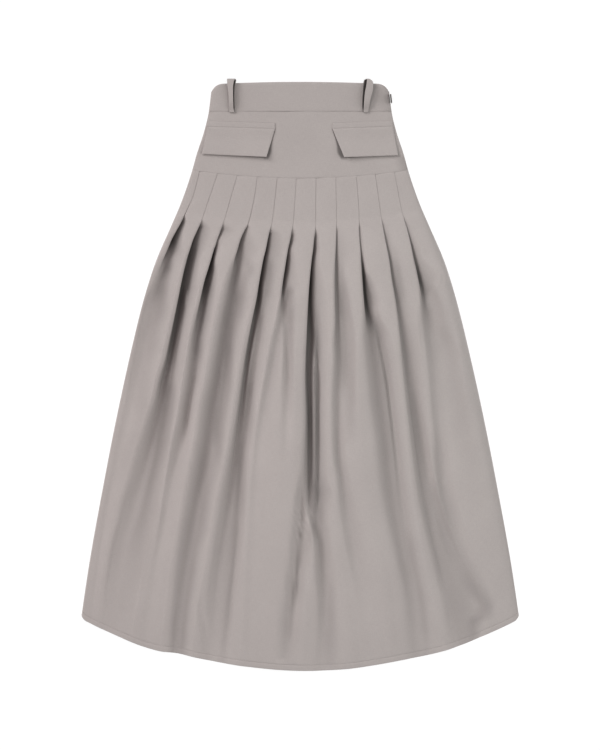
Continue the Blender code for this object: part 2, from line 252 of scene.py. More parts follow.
def stitchRow(name, path, look):
    # short rounded stitches along a line of points, in millimetres
    pitch, length, radius = look["pitch"], look["length"], look["radius"]
    sides, rings = look["sides"], look["rings"]
    path = np.asarray(path, float)
    steps = np.linalg.norm(np.diff(path, axis=0), axis=1)
    along = np.concatenate([[0], np.cumsum(steps)])

    def spotAt(place):
        return np.array([np.interp(place, along, path[:, i]) for i in range(3)])

    points, faces = [], []
    for centre in np.arange(0.5 * pitch, along[-1] - 0.5 * pitch, pitch):
        ends = [spotAt(centre + s * length) for s in (-0.5, 0.5)]
        way = ends[1] - ends[0]
        way = way / np.linalg.norm(way)
        across = np.cross(way, (0, 0, 1))
        across = across / np.linalg.norm(across)
        up = np.cross(across, way)
        base = len(points)
        for k in range(rings):
            t = k / (rings - 1)
            thick = radius * blend(look["tip"], 1.0, math.sin(math.pi * t) ** 0.5)
            middle = blend(ends[0], ends[1], t) + up * (radius * look["rise"] * math.sin(math.pi * t))
            for j in range(sides):
                a = 2 * math.pi * j / sides
                points.append((middle + thick * (math.cos(a) * across + math.sin(a) * up)) * mm)
        for k in range(rings - 1):
            for j in range(sides):
                a, b = base + k * sides + j, base + k * sides + (j + 1) % sides
                faces.append((a, b, b + sides, a + sides))
        faces.append([base + j for j in reversed(range(sides))])
        faces.append([base + (rings - 1) * sides + j for j in range(sides)])
    piece = meshPiece(name, [tuple(p) for p in points], faces)
    piece.data.shade_smooth()
    return piece


# Shader groups.


def newGroup(name, inputs, outputs):
    group = bpy.data.node_groups.new(name, "ShaderNodeTree")
    for label, kind, value in inputs:
        socket = group.interface.new_socket(name=label, in_out="INPUT", socket_type=kind)
        if value is not None:
            socket.default_value = value
    for label, kind in outputs:
        group.interface.new_socket(name=label, in_out="OUTPUT", socket_type=kind)
    return group, group.nodes.new("NodeGroupInput"), group.nodes.new("NodeGroupOutput")


def mathNode(tree, kind, first, second=None, third=None, clamp=False):
    node = tree.nodes.new("ShaderNodeMath")
    node.operation = kind
    node.use_clamp = clamp
    for socket, value in zip(node.inputs, (first, second, third)):
        if value is None:
            continue
        if isinstance(value, bpy.types.NodeSocket):
            tree.links.new(value, socket)
        else:
            socket.default_value = value
    return node.outputs[0]


def timesNode(tree, first, second):
    return mathNode(tree, "MULTIPLY", first, second)


def noiseNode(tree, vector, scale, detail, stretch=(1, 1, 1)):
    place = tree.nodes.new("ShaderNodeMapping")
    place.inputs["Scale"].default_value = stretch
    tree.links.new(vector, place.inputs["Vector"])
    node = tree.nodes.new("ShaderNodeTexNoise")
    node.inputs["Scale"].default_value = scale
    node.inputs["Detail"].default_value = detail
    tree.links.new(place.outputs["Vector"], node.inputs["Vector"])
    return node.outputs["Fac"]


def mixColour(tree, first, second, share, kind="MIX"):
    node = tree.nodes.new("ShaderNodeMix")
    node.data_type = "RGBA"
    node.blend_type = kind
    for label, value in (("Factor", share), ("A", first), ("B", second)):
        socket = next(s for s in node.inputs if s.name == label and s.enabled)
        if isinstance(value, bpy.types.NodeSocket):
            tree.links.new(value, socket)
        else:
            socket.default_value = value
    return next(s for s in node.outputs if s.enabled)


clothLook = {
    "light": (0.431, 0.388, 0.375, 1),
    "dark": (0.346, 0.310, 0.299, 1),
    # painted shade: the colour that the foldShade attribute mixes in, in hollows and under edges
    "paintedShadeColour": (0.022, 0.019, 0.018, 1),
    "weft": (0.80, 0.80, 0.80, 1),  # what the threads on top take of the light, and how much it shows
    "weftShare": 0.10,
    "threads": 1250.0,
    "roughness": 0.86,
    "shine": 0.25,
    "sheen": 0.12,
    "sheenRoughness": 0.5,
    "bumpStrength": 0.35,
    "bumpHeight": 0.15,
    "slubRelief": 1.5,
}

yarnLook = {
    "slubs": (1500, 110),  # across and along a thread
    "slubShare": 0.30,
    "speckScale": 420.0,
    "speckShare": 0.20,
    "cloudScale": 14.0,
    "cloudShare": 0.20,
    "contrast": 2.2,
    "offset": -0.6,
    "roundShare": 0.6,  # of the weave's height, from the round thread; the crossings give the rest
}


def weaveGroup():
    # plain weave: warp and weft take turns on top
    group, given, made = newGroup(
        "plainWeave",
        (("Place", "NodeSocketVector", None), ("Threads per metre", "NodeSocketFloat", 1400.0)),
        (("Height", "NodeSocketFloat"), ("Tone", "NodeSocketFloat")),
    )
    split = group.nodes.new("ShaderNodeSeparateXYZ")
    group.links.new(given.outputs["Place"], split.inputs[0])
    waves = []
    for axis in "XY":
        turns = timesNode(group, split.outputs[axis], given.outputs["Threads per metre"])
        waves.append(mathNode(group, "SINE", timesNode(group, turns, math.pi)))
    over = timesNode(group, waves[0], waves[1])
    warp = mathNode(group, "ABSOLUTE", waves[0])
    weft = mathNode(group, "ABSOLUTE", waves[1])
    onTop = mathNode(group, "GREATER_THAN", over, 0.0)
    below = mathNode(group, "SUBTRACT", 1.0, onTop)
    thread = mathNode(group, "ADD", timesNode(group, warp, onTop), timesNode(group, weft, below))
    rounded = timesNode(group, thread, yarnLook["roundShare"])
    crossing = timesNode(group, mathNode(group, "ABSOLUTE", over), 1 - yarnLook["roundShare"])
    height = mathNode(group, "ADD", rounded, crossing)
    group.links.new(height, made.inputs["Height"])
    group.links.new(onTop, made.inputs["Tone"])
    return group


def fibreGroup():
    # uneven yarn and dye: long thin slubs both ways and a broad soft mottle
    group, given, made = newGroup(
        "yarnTone",
        (
            ("Place", "NodeSocketVector", None),
            ("Light", "NodeSocketColor", (0.45, 0.41, 0.40, 1)),
            ("Dark", "NodeSocketColor", (0.37, 0.34, 0.33, 1)),
        ),
        (("Colour", "NodeSocketColor"), ("Height", "NodeSocketFloat")),
    )
    place = given.outputs["Place"]
    across, along = yarnLook["slubs"]
    warp = noiseNode(group, place, 1.0, 2.0, (across, along, 1))
    weft = noiseNode(group, place, 1.0, 2.0, (along, across, 1))
    slub = timesNode(group, mathNode(group, "ADD", warp, weft), yarnLook["slubShare"])
    speck = timesNode(group, noiseNode(group, place, yarnLook["speckScale"], 3.0), yarnLook["speckShare"])
    cloud = timesNode(group, noiseNode(group, place, yarnLook["cloudScale"], 3.0), yarnLook["cloudShare"])
    relief = mathNode(group, "ADD", slub, speck)
    share = mathNode(group, "ADD", relief, cloud, clamp=True)
    sharper = mathNode(group, "MULTIPLY_ADD", share, yarnLook["contrast"], yarnLook["offset"], clamp=True)
    colour = mixColour(group, given.outputs["Dark"], given.outputs["Light"], sharper)
    group.links.new(colour, made.inputs["Colour"])
    group.links.new(relief, made.inputs["Height"])
    return group


weave = weaveGroup()
yarn = fibreGroup()


def clothMaterial(name, look):
    made = bpy.data.materials.new(name)
    made.use_nodes = True
    tree = made.node_tree
    shader = tree.nodes["Principled BSDF"]
    shader.inputs["Roughness"].default_value = look["roughness"]
    shader.inputs["Sheen Roughness"].default_value = look["sheenRoughness"]
    place = tree.nodes.new("ShaderNodeUVMap")
    place.uv_map = "grain"
    threads = tree.nodes.new("ShaderNodeGroup")
    threads.node_tree = weave
    threads.inputs["Threads per metre"].default_value = look["threads"]
    tree.links.new(place.outputs["UV"], threads.inputs["Place"])
    tone = tree.nodes.new("ShaderNodeGroup")
    tone.node_tree = yarn
    tone.inputs["Light"].default_value = look["light"]
    tone.inputs["Dark"].default_value = look["dark"]
    tree.links.new(place.outputs["UV"], tone.inputs["Place"])
    weftShare = timesNode(tree, threads.outputs["Tone"], look["weftShare"])
    lit = mixColour(tree, tone.outputs["Colour"], look["weft"], weftShare, "MULTIPLY")
    # painted shade: the foldShade attribute darkens the colour in hollows and under edges
    shade = tree.nodes.new("ShaderNodeAttribute")
    shade.attribute_name = "foldShade"
    tree.links.new(mixColour(tree, lit, look["paintedShadeColour"], shade.outputs["Fac"]), shader.inputs["Base Color"])
    lifted = mathNode(tree, "SUBTRACT", 1.0, shade.outputs["Fac"], clamp=True)  # where shade is painted, the shine and the sheen go too
    tree.links.new(timesNode(tree, lifted, look["shine"]), shader.inputs["Specular IOR Level"])
    tree.links.new(timesNode(tree, lifted, look["sheen"]), shader.inputs["Sheen Weight"])
    bump = tree.nodes.new("ShaderNodeBump")
    bump.inputs["Strength"].default_value = look["bumpStrength"]
    bump.inputs["Distance"].default_value = look["bumpHeight"] * mm
    slubs = timesNode(tree, tone.outputs["Height"], look["slubRelief"])
    height = mathNode(tree, "ADD", threads.outputs["Height"], slubs)
    tree.links.new(height, bump.inputs["Height"])
    tree.links.new(bump.outputs["Normal"], shader.inputs["Normal"])
    return made


cloth = clothMaterial("mattePlainWeave", clothLook)
print("material of the cloth made")

# Pleated front.

# Each fold from the left: height in the picture, folded edge, width of the hollow beside
# it, all in reading steps, and the depth of the hollow in millimetres. The first two
# rows are the pleat seam and the end of the stitching, where the pleat opens.
foldLines = (
    (
        (178, 199.5, 0.5, 1), (197, 192.7, 0.5, 1.5), (214, 185, 0.5, 2), (222, 181.6, 3, 13),
        (230, 177.2, 4.6, 23), (240, 172, 6.5, 25), (250, 168, 8, 20), (258, 164.5, 9, 14),
        (270, 160.5, 11, 11), (285, 155, 14, 9), (300, 148, 18, 8.5), (320, 143, 20, 8), (345, 138, 21, 7.5),
        (370, 133, 21, 6), (400, 128, 20, 4.5), (450, 117, 20, 2.5), (520, 103, 18, 1.5), (618, 88, 12, 0.5),
    ),
    (
        (178, 217.5, 0.5, 1), (217, 202.8, 0.5, 2), (222, 201.3, 2.8, 14), (230, 197.8, 4, 24),
        (240, 193.4, 6.2, 28), (250, 190.4, 7.3, 29), (260, 187.4, 8, 29), (280, 182.6, 8.4, 28),
        (300, 178.6, 8.8, 27), (320, 174.5, 9, 26), (340, 170.2, 9, 25), (360, 165.8, 9.5, 22),
        (380, 160, 13.5, 20), (400, 156, 16.5, 18.5), (420, 150.5, 20.5, 17), (440, 145, 25, 16),
        (460, 139, 30, 15), (480, 133, 31, 14), (500, 126, 32, 12.5), (520, 121, 27, 9), (545, 114, 24, 7),
        (580, 108, 22, 4.5), (628, 103, 18, 1),
    ),
    (
        (178, 237, 0.5, 1), (220, 224.2, 0.5, 2), (226, 222.4, 3.4, 16), (233, 220, 2, 11),
        (240, 217.4, 1.1, 9), (245, 216, 1.2, 11), (250, 214.2, 1.5, 16), (255, 212.8, 1.8, 22),
        (260, 211.4, 2.2, 27), (270, 208.5, 4.8, 28), (280, 205.3, 6.2, 26), (290, 202.9, 6.2, 22.5),
        (300, 200.9, 6.8, 19.5), (320, 196.3, 9.5, 17), (340, 192.4, 10.5, 14.5), (360, 190, 12, 12.5),
        (380, 187, 13, 12), (400, 183.5, 12, 12), (420, 180.3, 12, 12), (440, 175.5, 13, 10),
        (480, 167, 13, 7), (520, 161, 14, 5), (560, 153, 15, 3), (600, 146, 15, 2), (640, 139, 14, 1),
    ),
    (
        (178, 257, 0.5, 1), (197, 254.2, 0.5, 1.5), (224, 248, 0.5, 2), (230, 245, 2, 12),
        (240, 240.5, 4, 15), (250, 237.8, 5, 15), (260, 235, 6.8, 15.5), (280, 229.8, 11.5, 16.5),
        (300, 225.5, 16, 18), (320, 221.5, 18, 19), (340, 218, 18.5, 19), (360, 214.5, 19, 18.5),
        (380, 211, 19, 18.5), (400, 206.5, 19.5, 18.5), (440, 200.5, 18.5, 18), (480, 193.5, 18.5, 18),
        (520, 186, 19, 18), (560, 179.5, 20, 17.5), (600, 174.5, 20, 16), (630, 171.5, 20, 13),
        (652, 170, 16, 9),
    ),
    (
        (178, 277, 0.5, 1), (224, 271.6, 0.5, 2), (230, 270, 2, 14), (240, 267.8, 2.4, 20),
        (250, 265.8, 3, 25), (260, 263.4, 3.5, 28), (280, 259.8, 4.6, 27.5), (300, 256.6, 5.8, 25),
        (320, 252.4, 6.4, 23.5), (340, 248.4, 6.6, 21), (360, 244.8, 7.6, 20.5), (380, 241.9, 9.2, 20.5),
        (400, 239.2, 10.5, 20.5), (420, 236.4, 12, 20), (440, 233.3, 15, 17.5), (460, 230, 17.5, 17),
        (480, 227, 20, 16.5), (500, 223.5, 23, 16), (540, 217, 26, 15.5), (560, 214, 27, 15),
        (600, 208.5, 27, 13), (640, 204, 26, 10), (660, 202, 24, 6),
    ),
    (
        (178, 296, 0.5, 1), (225, 292.8, 0.5, 2), (230, 292, 2, 8), (240, 290.2, 2.5, 12),
        (250, 288, 1.5, 15), (260, 286.3, 2.8, 21), (270, 284.8, 3, 21), (280, 283.2, 3.2, 18),
        (290, 282, 3.5, 14), (300, 281, 4, 10.5), (310, 279.5, 6, 8.5), (320, 278, 7, 7),
        (340, 273.5, 9, 5.5), (360, 269.5, 9, 5.5), (380, 266, 9, 5), (400, 262.5, 9, 4), (440, 257, 9, 2.5),
        (500, 252, 9, 1.2), (668, 245, 9, 0.5),
    ),
    (
        (178, 315.7, 0.5, 1), (226, 315.3, 0.5, 2), (232, 315, 1.5, 8), (240, 314, 2, 14),
        (250, 313, 2.5, 19), (260, 311.6, 2.2, 22), (280, 309.6, 3, 26), (300, 308.2, 4.2, 28),
        (320, 307.2, 6.2, 28), (340, 306.4, 9.6, 27), (355, 305.6, 10.8, 26), (375, 305.2, 12.6, 25),
        (420, 306, 12.8, 26.5), (460, 305, 15, 27), (480, 304.6, 16.5, 26.5), (495, 304.3, 20, 26.5),
        (510, 306.3, 17.5, 22), (525, 311.8, 12.5, 15), (540, 315.5, 11, 13.5), (560, 317, 12, 12.5),
        (580, 318, 13, 12), (600, 319.5, 13.5, 9), (620, 319.5, 14.5, 7), (640, 318.5, 16.5, 5),
        (670, 317, 17, 2.5),
    ),
    (
        (178, 335.5, 0.5, 1), (222, 336.2, 0.5, 2), (232, 336.2, 1.2, 6), (240, 336, 1.8, 7),
        (260, 335.2, 3.4, 8.5), (280, 334.6, 4.5, 10), (300, 334.8, 5, 11), (320, 335.2, 5, 11.5),
        (340, 334.5, 7, 12), (360, 335, 8, 11), (400, 333.5, 8.5, 9), (440, 334, 8.5, 8.5),
        (460, 335.3, 8, 8.5), (480, 338.5, 8.5, 8), (500, 340.5, 10, 7.5), (520, 343, 12, 7.5),
        (540, 346.5, 13, 7), (560, 350.5, 13, 5.5), (580, 354.5, 13, 3.5), (610, 360, 13, 1.8),
        (667, 368, 14, 0.8),
    ),
    (
        (178, 356, 0.5, 1), (219, 358.9, 0.5, 2), (230, 359, 1.1, 5.5), (240, 359.4, 1.3, 6),
        (250, 360.2, 1.4, 7), (260, 360.8, 2, 9.5), (270, 361.5, 2.6, 15), (280, 362.2, 3, 20),
        (290, 362.8, 3.4, 22), (300, 363.6, 4, 22), (310, 364.4, 5, 20), (320, 365, 8.5, 18),
        (340, 366, 17, 17.5), (360, 368, 18.5, 17), (380, 370, 20, 16.5), (400, 372, 21, 16.5),
        (440, 378, 21, 16), (480, 382, 22, 15), (520, 389, 24, 14), (560, 398, 24, 13.5), (600, 406, 25, 13),
        (640, 409, 24, 11), (662, 410, 20, 5),
    ),
    (
        (176, 375, 0.5, 1), (213, 380.4, 0.5, 2), (222, 381.8, 1.4, 3), (230, 383.2, 2.2, 4.5),
        (240, 385, 3, 6.5), (260, 388.8, 3.8, 8.5), (280, 391.4, 5, 9.5), (300, 394.8, 6, 10),
        (320, 397.4, 8, 11), (340, 399.6, 10, 12), (360, 401.8, 12.5, 12.5), (380, 404, 14, 12.5),
        (400, 406.5, 14.5, 12.5), (440, 411.5, 16, 12.5), (480, 417, 20, 12.5), (500, 420.3, 24, 13),
        (520, 424.5, 28, 13.5), (540, 429, 33, 14), (560, 434, 38, 14), (580, 438.5, 42, 14),
        (600, 445, 41, 14), (620, 449, 38, 14.5), (640, 454.5, 24, 12), (652, 458, 14, 8),
    ),
    (
        (175, 394, 0.5, 1), (212, 401.8, 0.5, 2), (222, 404.6, 1.5, 3.5), (230, 407, 1.8, 5),
        (240, 409.4, 2.3, 7), (250, 411.6, 2.8, 9), (260, 413.6, 3.2, 11), (270, 415.8, 3.8, 13.5),
        (280, 417.8, 4.4, 14), (290, 419.8, 4.6, 12), (300, 421, 4.6, 9), (320, 423.5, 8, 8),
        (340, 425.5, 10, 7.5), (360, 428, 11, 7), (400, 431.5, 11, 6.5), (440, 435.5, 11, 6),
        (480, 440, 11, 5), (520, 449, 11, 3.5), (560, 463, 11, 2), (580, 478, 10, 1.2), (600, 486, 9, 0.8),
        (632, 491, 8, 0.5),
    ),
)

# Painted shade at the bottom of each fold: height in the picture, share of the shade.
foldShades = (
    ((214, 0), (222, 1), (240, 1), (252, 0.6), (262, 0.3), (300, 0.1), (330, 0)),
    (
        (217, 0), (222, 0.9), (300, 0.8), (340, 0.65), (380, 0.42), (420, 0.2), (460, 0.12), (560, 0.08),
        (628, 0),
    ),
    (
        (220, 0), (224, 0.8), (230, 0.6), (238, 0.2), (246, 0.6), (256, 1), (280, 0.85), (300, 0.62),
        (320, 0.48), (340, 0.35), (380, 0.25), (420, 0.15), (480, 0.05), (520, 0),
    ),
    (
        (224, 0), (230, 0.5), (240, 0.6), (260, 0.5), (300, 0.42), (400, 0.28), (480, 0.24), (600, 0.26),
        (652, 0.2),
    ),
    (
        (224, 0), (230, 0.9), (260, 0.85), (300, 0.62), (340, 0.48), (380, 0.42), (420, 0.3), (460, 0.2),
        (500, 0.14), (600, 0.1), (660, 0),
    ),
    (
        (225, 0), (240, 0.45), (250, 0.45), (262, 0.7), (285, 0.6), (300, 0.4), (315, 0.2), (400, 0.1),
        (440, 0),
    ),
    (
        (226, 0), (240, 0.5), (260, 0.7), (280, 0.85), (300, 0.72), (340, 0.48), (380, 0.38), (420, 0.44),
        (460, 0.45), (490, 0.48), (510, 0.32), (560, 0.15), (620, 0.08), (670, 0),
    ),
    ((222, 0), (240, 0.25), (260, 0.33), (300, 0.4), (340, 0.32), (380, 0.2), (560, 0.06), (600, 0)),
    (
        (219, 0), (240, 0.2), (258, 0.24), (268, 0.5), (280, 0.7), (300, 0.75), (320, 0.55), (340, 0.3),
        (440, 0.25), (520, 0.2), (600, 0.16), (640, 0.08),
    ),
    ((213, 0), (230, 0.2), (300, 0.3), (340, 0.3), (420, 0.25), (500, 0.2), (600, 0.2), (652, 0.12)),
    (
        (212, 0), (240, 0.28), (260, 0.32), (280, 0.65), (292, 0.5), (305, 0.28), (340, 0.12), (440, 0.06),
        (480, 0),
    ),
)

# How far beyond its half height the cloth still climbs: height in the picture, reading steps.
foldShelves = (
    ((214, 0), (230, 0.5), (245, 5), (260, 9), (300, 8), (340, 4)),
    ((217, 1), (232, 9), (245, 7), (260, 4.5), (300, 5.5), (340, 10), (380, 14), (420, 14), (480, 6)),
    ((220, 1), (232, 11), (245, 4), (260, 2.5), (280, 4), (300, 6), (340, 6), (380, 3), (420, 2)),
    ((224, 1), (232, 3), (245, 14), (260, 22), (280, 16), (300, 12), (340, 11), (380, 8), (420, 6)),
    ((224, 1), (232, 8), (260, 16), (300, 13), (340, 14), (380, 18), (420, 15), (480, 9)),
    ((225, 0), (260, 5), (280, 10), (300, 14), (330, 4)),
    ((226, 0), (260, 4), (300, 12), (340, 9), (380, 5), (480, 3)),
    ((222, 0), (232, 5), (260, 18), (300, 20), (340, 20), (380, 18), (420, 8), (460, 3)),
    ((219, 0), (260, 3), (280, 12), (300, 19), (320, 14), (340, 8), (380, 3)),
    ((213, 0), (245, 5), (270, 10), (300, 10), (340, 7), (400, 6), (480, 6)),
    ((212, 0), (240, 3), (260, 10), (300, 23), (330, 23), (380, 6)),
)

# Softer creases on the faces: height in the picture, middle, half width, depth in millimetres.
softCreases = {
    "belowSixth": (
        (308, 287.5, 5, 0), (325, 288, 5, 8), (360, 288, 4.5, 9), (400, 287.5, 4.5, 6), (470, 286, 5, 0),
    ),
    "leftOfSeventh": (
        (470, 303, 3, 0), (485, 302, 3.5, 6), (500, 301.2, 4, 12), (520, 300.6, 3.8, 15), (540, 299, 4.2, 16),
        (560, 297.6, 5, 16), (600, 293.6, 6, 14), (640, 289.6, 7, 8), (662, 287.6, 7, 4),
    ),
    "farRight": (
        (325, 444, 8, 0), (350, 446, 10, 8), (390, 450, 11, 8), (430, 455, 11, 4), (470, 460, 10, 0),
    ),
    "lowLeftStreak": ((596, 199, 4, 0), (612, 202, 4, 4), (640, 209, 5, 4), (658, 213, 5, 2)),
    "besideThird": ((425, 167, 3, 0), (450, 166, 3, 1.4), (490, 163.5, 3, 1.4), (510, 162, 3, 0)),
    "rightOfNinth": (
        (312, 376, 3, 0), (340, 379.8, 3, 13), (365, 384.8, 2.8, 12), (385, 388, 2.8, 13),
        (440, 395, 3.2, 12), (500, 401.5, 3.6, 10), (560, 409.5, 4.5, 8), (610, 417, 6, 0),
    ),
    "betweenFourthAndFifth": (
        (285, 241, 3, 0), (300, 238.5, 3.5, 5), (330, 231.5, 3.5, 6), (380, 226.5, 3.8, 8), (430, 220, 4, 4),
        (470, 214, 4, 0),
    ),
    "rightOfEighth": (
        (283, 343, 4, 0), (300, 343, 5, 6), (320, 345, 6, 9), (345, 346.5, 7, 10), (380, 347, 7, 9),
        (410, 348, 7, 4), (430, 348, 7, 0),
    ),
    "besideSixth": (
        (285, 289, 2.5, 0), (295, 288, 3, 6), (305, 286.5, 3.5, 7), (315, 285.5, 3.5, 4), (325, 284.5, 3, 0),
    ),
    "besideNinth": ((280, 366, 3, 0), (300, 370, 4.5, 9), (315, 372, 6, 7), (328, 374, 6, 0)),
    "besideEleventh": (
        (280, 424, 5, 0), (300, 430, 8, 10), (325, 434, 9, 9), (355, 438, 9, 4), (380, 440, 9, 0),
    ),
    "besideThirdAbove": (
        (358, 198.5, 2.5, 0), (380, 194.5, 3, 7), (420, 187.5, 3, 8), (440, 185, 3, 4), (455, 183, 3, 0),
    ),
    "besideFourth": ((245, 242, 4, 0), (260, 243, 6, 5), (275, 241, 6, 4), (290, 240, 4, 0)),
    "besideFifth": (
        (298, 265, 3, 0), (320, 261, 3.5, 8), (340, 258.5, 4, 11), (380, 252, 4.5, 15), (420, 247, 4.5, 15),
        (460, 242, 4.5, 14), (500, 238.5, 5, 13), (540, 232.5, 6, 12), (580, 226, 6, 10), (620, 220, 7, 8),
        (645, 215, 6, 0),
    ),
    "besideTenth": (
        (375, 413, 3, 0), (400, 415, 3.5, 5), (420, 418.5, 4, 8), (460, 425, 4.5, 9), (500, 433, 5, 9),
        (540, 444, 8, 8), (570, 452, 10, 0),
    ),
    "underTenth": (
        (435, 437, 6, 0), (465, 440, 7, 5), (500, 444, 9, 6), (540, 452, 13, 8), (580, 460, 16, 9),
        (620, 466, 16, 9), (645, 468, 16, 6), (656, 468, 14, 0),
    ),
    "endOfFifth": (
        (495, 242.5, 3, 0), (520, 241, 3, 5), (540, 238.5, 3, 8), (580, 233.5, 3, 11), (620, 228.5, 3, 10),
        (655, 224, 3, 3),
    ),
    "besideSecond": (
        (300, 186.5, 2, 0), (320, 182.5, 3, 6), (340, 178.5, 3, 9), (360, 174.5, 3.5, 11), (380, 172, 4, 13),
        (400, 168.5, 5, 13), (420, 165, 6, 13), (460, 157, 8, 12), (500, 150, 9, 10), (560, 140, 10, 4),
        (600, 134, 10, 0),
    ),
    "besideSeventh": (
        (500, 305.5, 3, 0), (515, 306, 3.5, 6), (540, 306.5, 4, 8), (570, 305, 4, 3), (590, 304, 4, 0),
    ),
}

# Broad painted half shade where the cloth sags between two folds: the same columns, with a share of the shade
# in place of the depth.
softShades = {
    "pastFirst": (
        (256, 171, 4, 0), (268, 168.5, 4.5, 0.3), (280, 164, 6, 0.22), (292, 162, 7, 0.28),
        (310, 160, 8, 0.24), (330, 153, 9, 0.18), (350, 150, 9, 0.15), (370, 143, 9, 0.1),
        (410, 143, 9, 0.08), (430, 138, 9, 0.07), (450, 130, 8, 0.07), (470, 123, 8, 0.05), (490, 119, 8, 0),
    ),
    "pastSecond": (
        (376, 171, 4, 0), (390, 171, 6, 0.22), (410, 169, 6, 0.22), (430, 164, 7, 0.22), (450, 160, 7, 0.27),
        (470, 154, 9, 0.26), (490, 147, 11, 0.21), (510, 144, 12, 0.17), (530, 140, 13, 0.14),
        (550, 140, 13, 0.12), (570, 138, 12, 0.09), (590, 132, 12, 0.07), (610, 125, 10, 0.04),
        (628, 120, 10, 0),
    ),
    "pastThirdAbove": (
        (276, 212, 4, 0), (290, 210, 5, 0.22), (310, 208, 5, 0.12), (332, 202, 5, 0.12),
        (350, 199.5, 5, 0.22), (368, 198, 5, 0),
    ),
    "pastFourth": (
        (320, 233, 5, 0), (335, 232, 5, 0.06), (350, 230, 5, 0.2), (370, 229, 5, 0.21), (390, 227, 6, 0.17),
        (410, 222, 6, 0.17), (430, 219, 6, 0.2), (450, 219, 5, 0.19), (470, 215, 6, 0.08), (490, 208, 6, 0.1),
        (510, 204, 7, 0.15), (530, 202, 7, 0.14), (550, 194, 7, 0.1), (570, 190, 7, 0.14),
        (590, 187, 7, 0.12), (610, 183, 7, 0.13), (632, 180, 7, 0.17), (655, 180, 7, 0.06),
    ),
    "pastFifthAbove": (
        (376, 252, 5, 0), (390, 250.5, 4.5, 0.14), (410, 250, 5, 0.14), (430, 249, 6, 0.08), (448, 247, 6, 0),
    ),
    "pastFifth": (
        (436, 244, 5, 0), (450, 241, 6, 0.13), (470, 240, 6, 0.19), (490, 239, 6, 0.21), (510, 236, 8, 0.21),
        (530, 233, 8, 0.22), (550, 231, 8, 0.17), (570, 227, 8, 0.16), (590, 225, 8, 0.19),
        (610, 224, 8, 0.18), (630, 220, 9, 0.19), (662, 216, 9, 0.19),
    ),
    "pastSixth": (
        (284, 289, 4, 0), (292, 290, 4.5, 0.2), (310, 290, 5.5, 0.24), (330, 289.5, 5.5, 0.22),
        (350, 289.5, 5, 0.17), (370, 289.5, 5, 0.12), (400, 288.5, 4, 0.06), (425, 287, 6, 0),
    ),
    "pastSeventh": (
        (496, 315, 5, 0), (512, 318, 6, 0.12), (530, 312, 7, 0.14), (550, 304, 7, 0.13), (570, 300, 6, 0.14),
        (590, 298, 6, 0.08), (610, 292, 7, 0.06), (630, 291, 8, 0.1), (664, 289, 8, 0.1),
    ),
    "besideSeventh": (
        (300, 317, 2.5, 0), (312, 317, 3, 0.1), (330, 316.5, 3.5, 0.22), (350, 317, 4, 0.28),
        (366, 318, 3, 0.1), (376, 318, 3, 0),
    ),
    "pastEighth": (
        (262, 342, 3.5, 0), (275, 342, 4, 0.13), (290, 343, 5.5, 0.17), (310, 344.5, 6, 0.14),
        (330, 350, 6, 0.08), (350, 350, 6, 0.11), (370, 350, 6, 0.14), (390, 350, 6, 0.17),
        (410, 350, 6, 0.15), (430, 350, 6, 0.08), (446, 350, 6, 0),
    ),
    "besideFourth": (
        (258, 249, 4, 0), (269, 250, 5, 0.16), (281, 246, 5, 0.12), (295, 243, 5, 0.1), (310, 241, 5, 0.1),
        (332, 235, 5, 0.07), (345, 233, 5, 0),
    ),
    "besideFifth": (
        (256, 269, 4, 0), (268, 270, 4, 0.18), (290, 268, 4, 0.2), (306, 264, 4, 0.1), (320, 262, 4, 0.08),
        (335, 260, 4, 0.1), (352, 256, 4, 0),
    ),
    "besideTenth": (
        (256, 395, 3, 0), (270, 397, 3.5, 0.15), (290, 400, 4, 0.16), (306, 402, 4, 0.05), (320, 404, 4, 0),
    ),
    "besideEleventh": (
        (280, 423, 3, 0), (295, 424, 4, 0.08), (312, 421, 4, 0.1), (330, 421, 4, 0.07), (345, 424, 4, 0),
    ),
    "belowEighth": ((575, 330, 5, 0), (600, 330, 6, 0.1), (640, 330, 7, 0.12), (668, 330, 7, 0.05)),
    "endOfNinth": (
        (530, 411, 4, 0), (550, 411, 5, 0.08), (575, 416, 5, 0.06), (600, 420, 6, 0.12), (640, 421, 7, 0.15),
        (660, 421, 7, 0.05),
    ),
    "pastEleventh": (
        (284, 430, 5, 0), (292, 432, 6, 0.08), (310, 438, 9, 0.14), (330, 442, 9, 0.13), (350, 449, 10, 0.13),
        (370, 453, 10, 0.12), (390, 457, 10, 0.11), (410, 460, 10, 0.11), (430, 462, 10, 0.08),
        (450, 467, 9, 0.05), (470, 472, 9, 0.03), (490, 476, 9, 0),
    ),
    "pastTenth": (
        (436, 437, 6, 0), (455, 438, 7, 0.06), (470, 440, 7, 0.1), (490, 440, 10, 0.16), (510, 445, 11, 0.18),
        (530, 447, 11, 0.18), (550, 454, 11, 0.16), (570, 466, 11, 0.17), (590, 476, 10, 0.2),
        (608, 486, 8, 0.2), (630, 468, 9, 0.18), (645, 470, 8, 0),
    ),
}

# Small ridges that stand in the hollows: the same columns, with the height in place of the depth.
softRidges = {
    "inSeventh": (
        (318, 314, 2.2, 0), (340, 314.3, 2.2, 7), (380, 313.8, 2.2, 18), (420, 314, 2.2, 17),
        (460, 314.3, 2.2, 12), (500, 313.4, 2.4, 8), (522, 312, 3, 0),
    ),
    "inFifth": ((275, 263.5, 2.5, 0), (290, 263, 2.5, 4), (305, 262, 2.5, 4), (320, 260, 2.5, 0)),
    "inSecond": ((285, 186.5, 2, 0), (298, 186, 2, 5), (310, 184, 2, 0)),
}

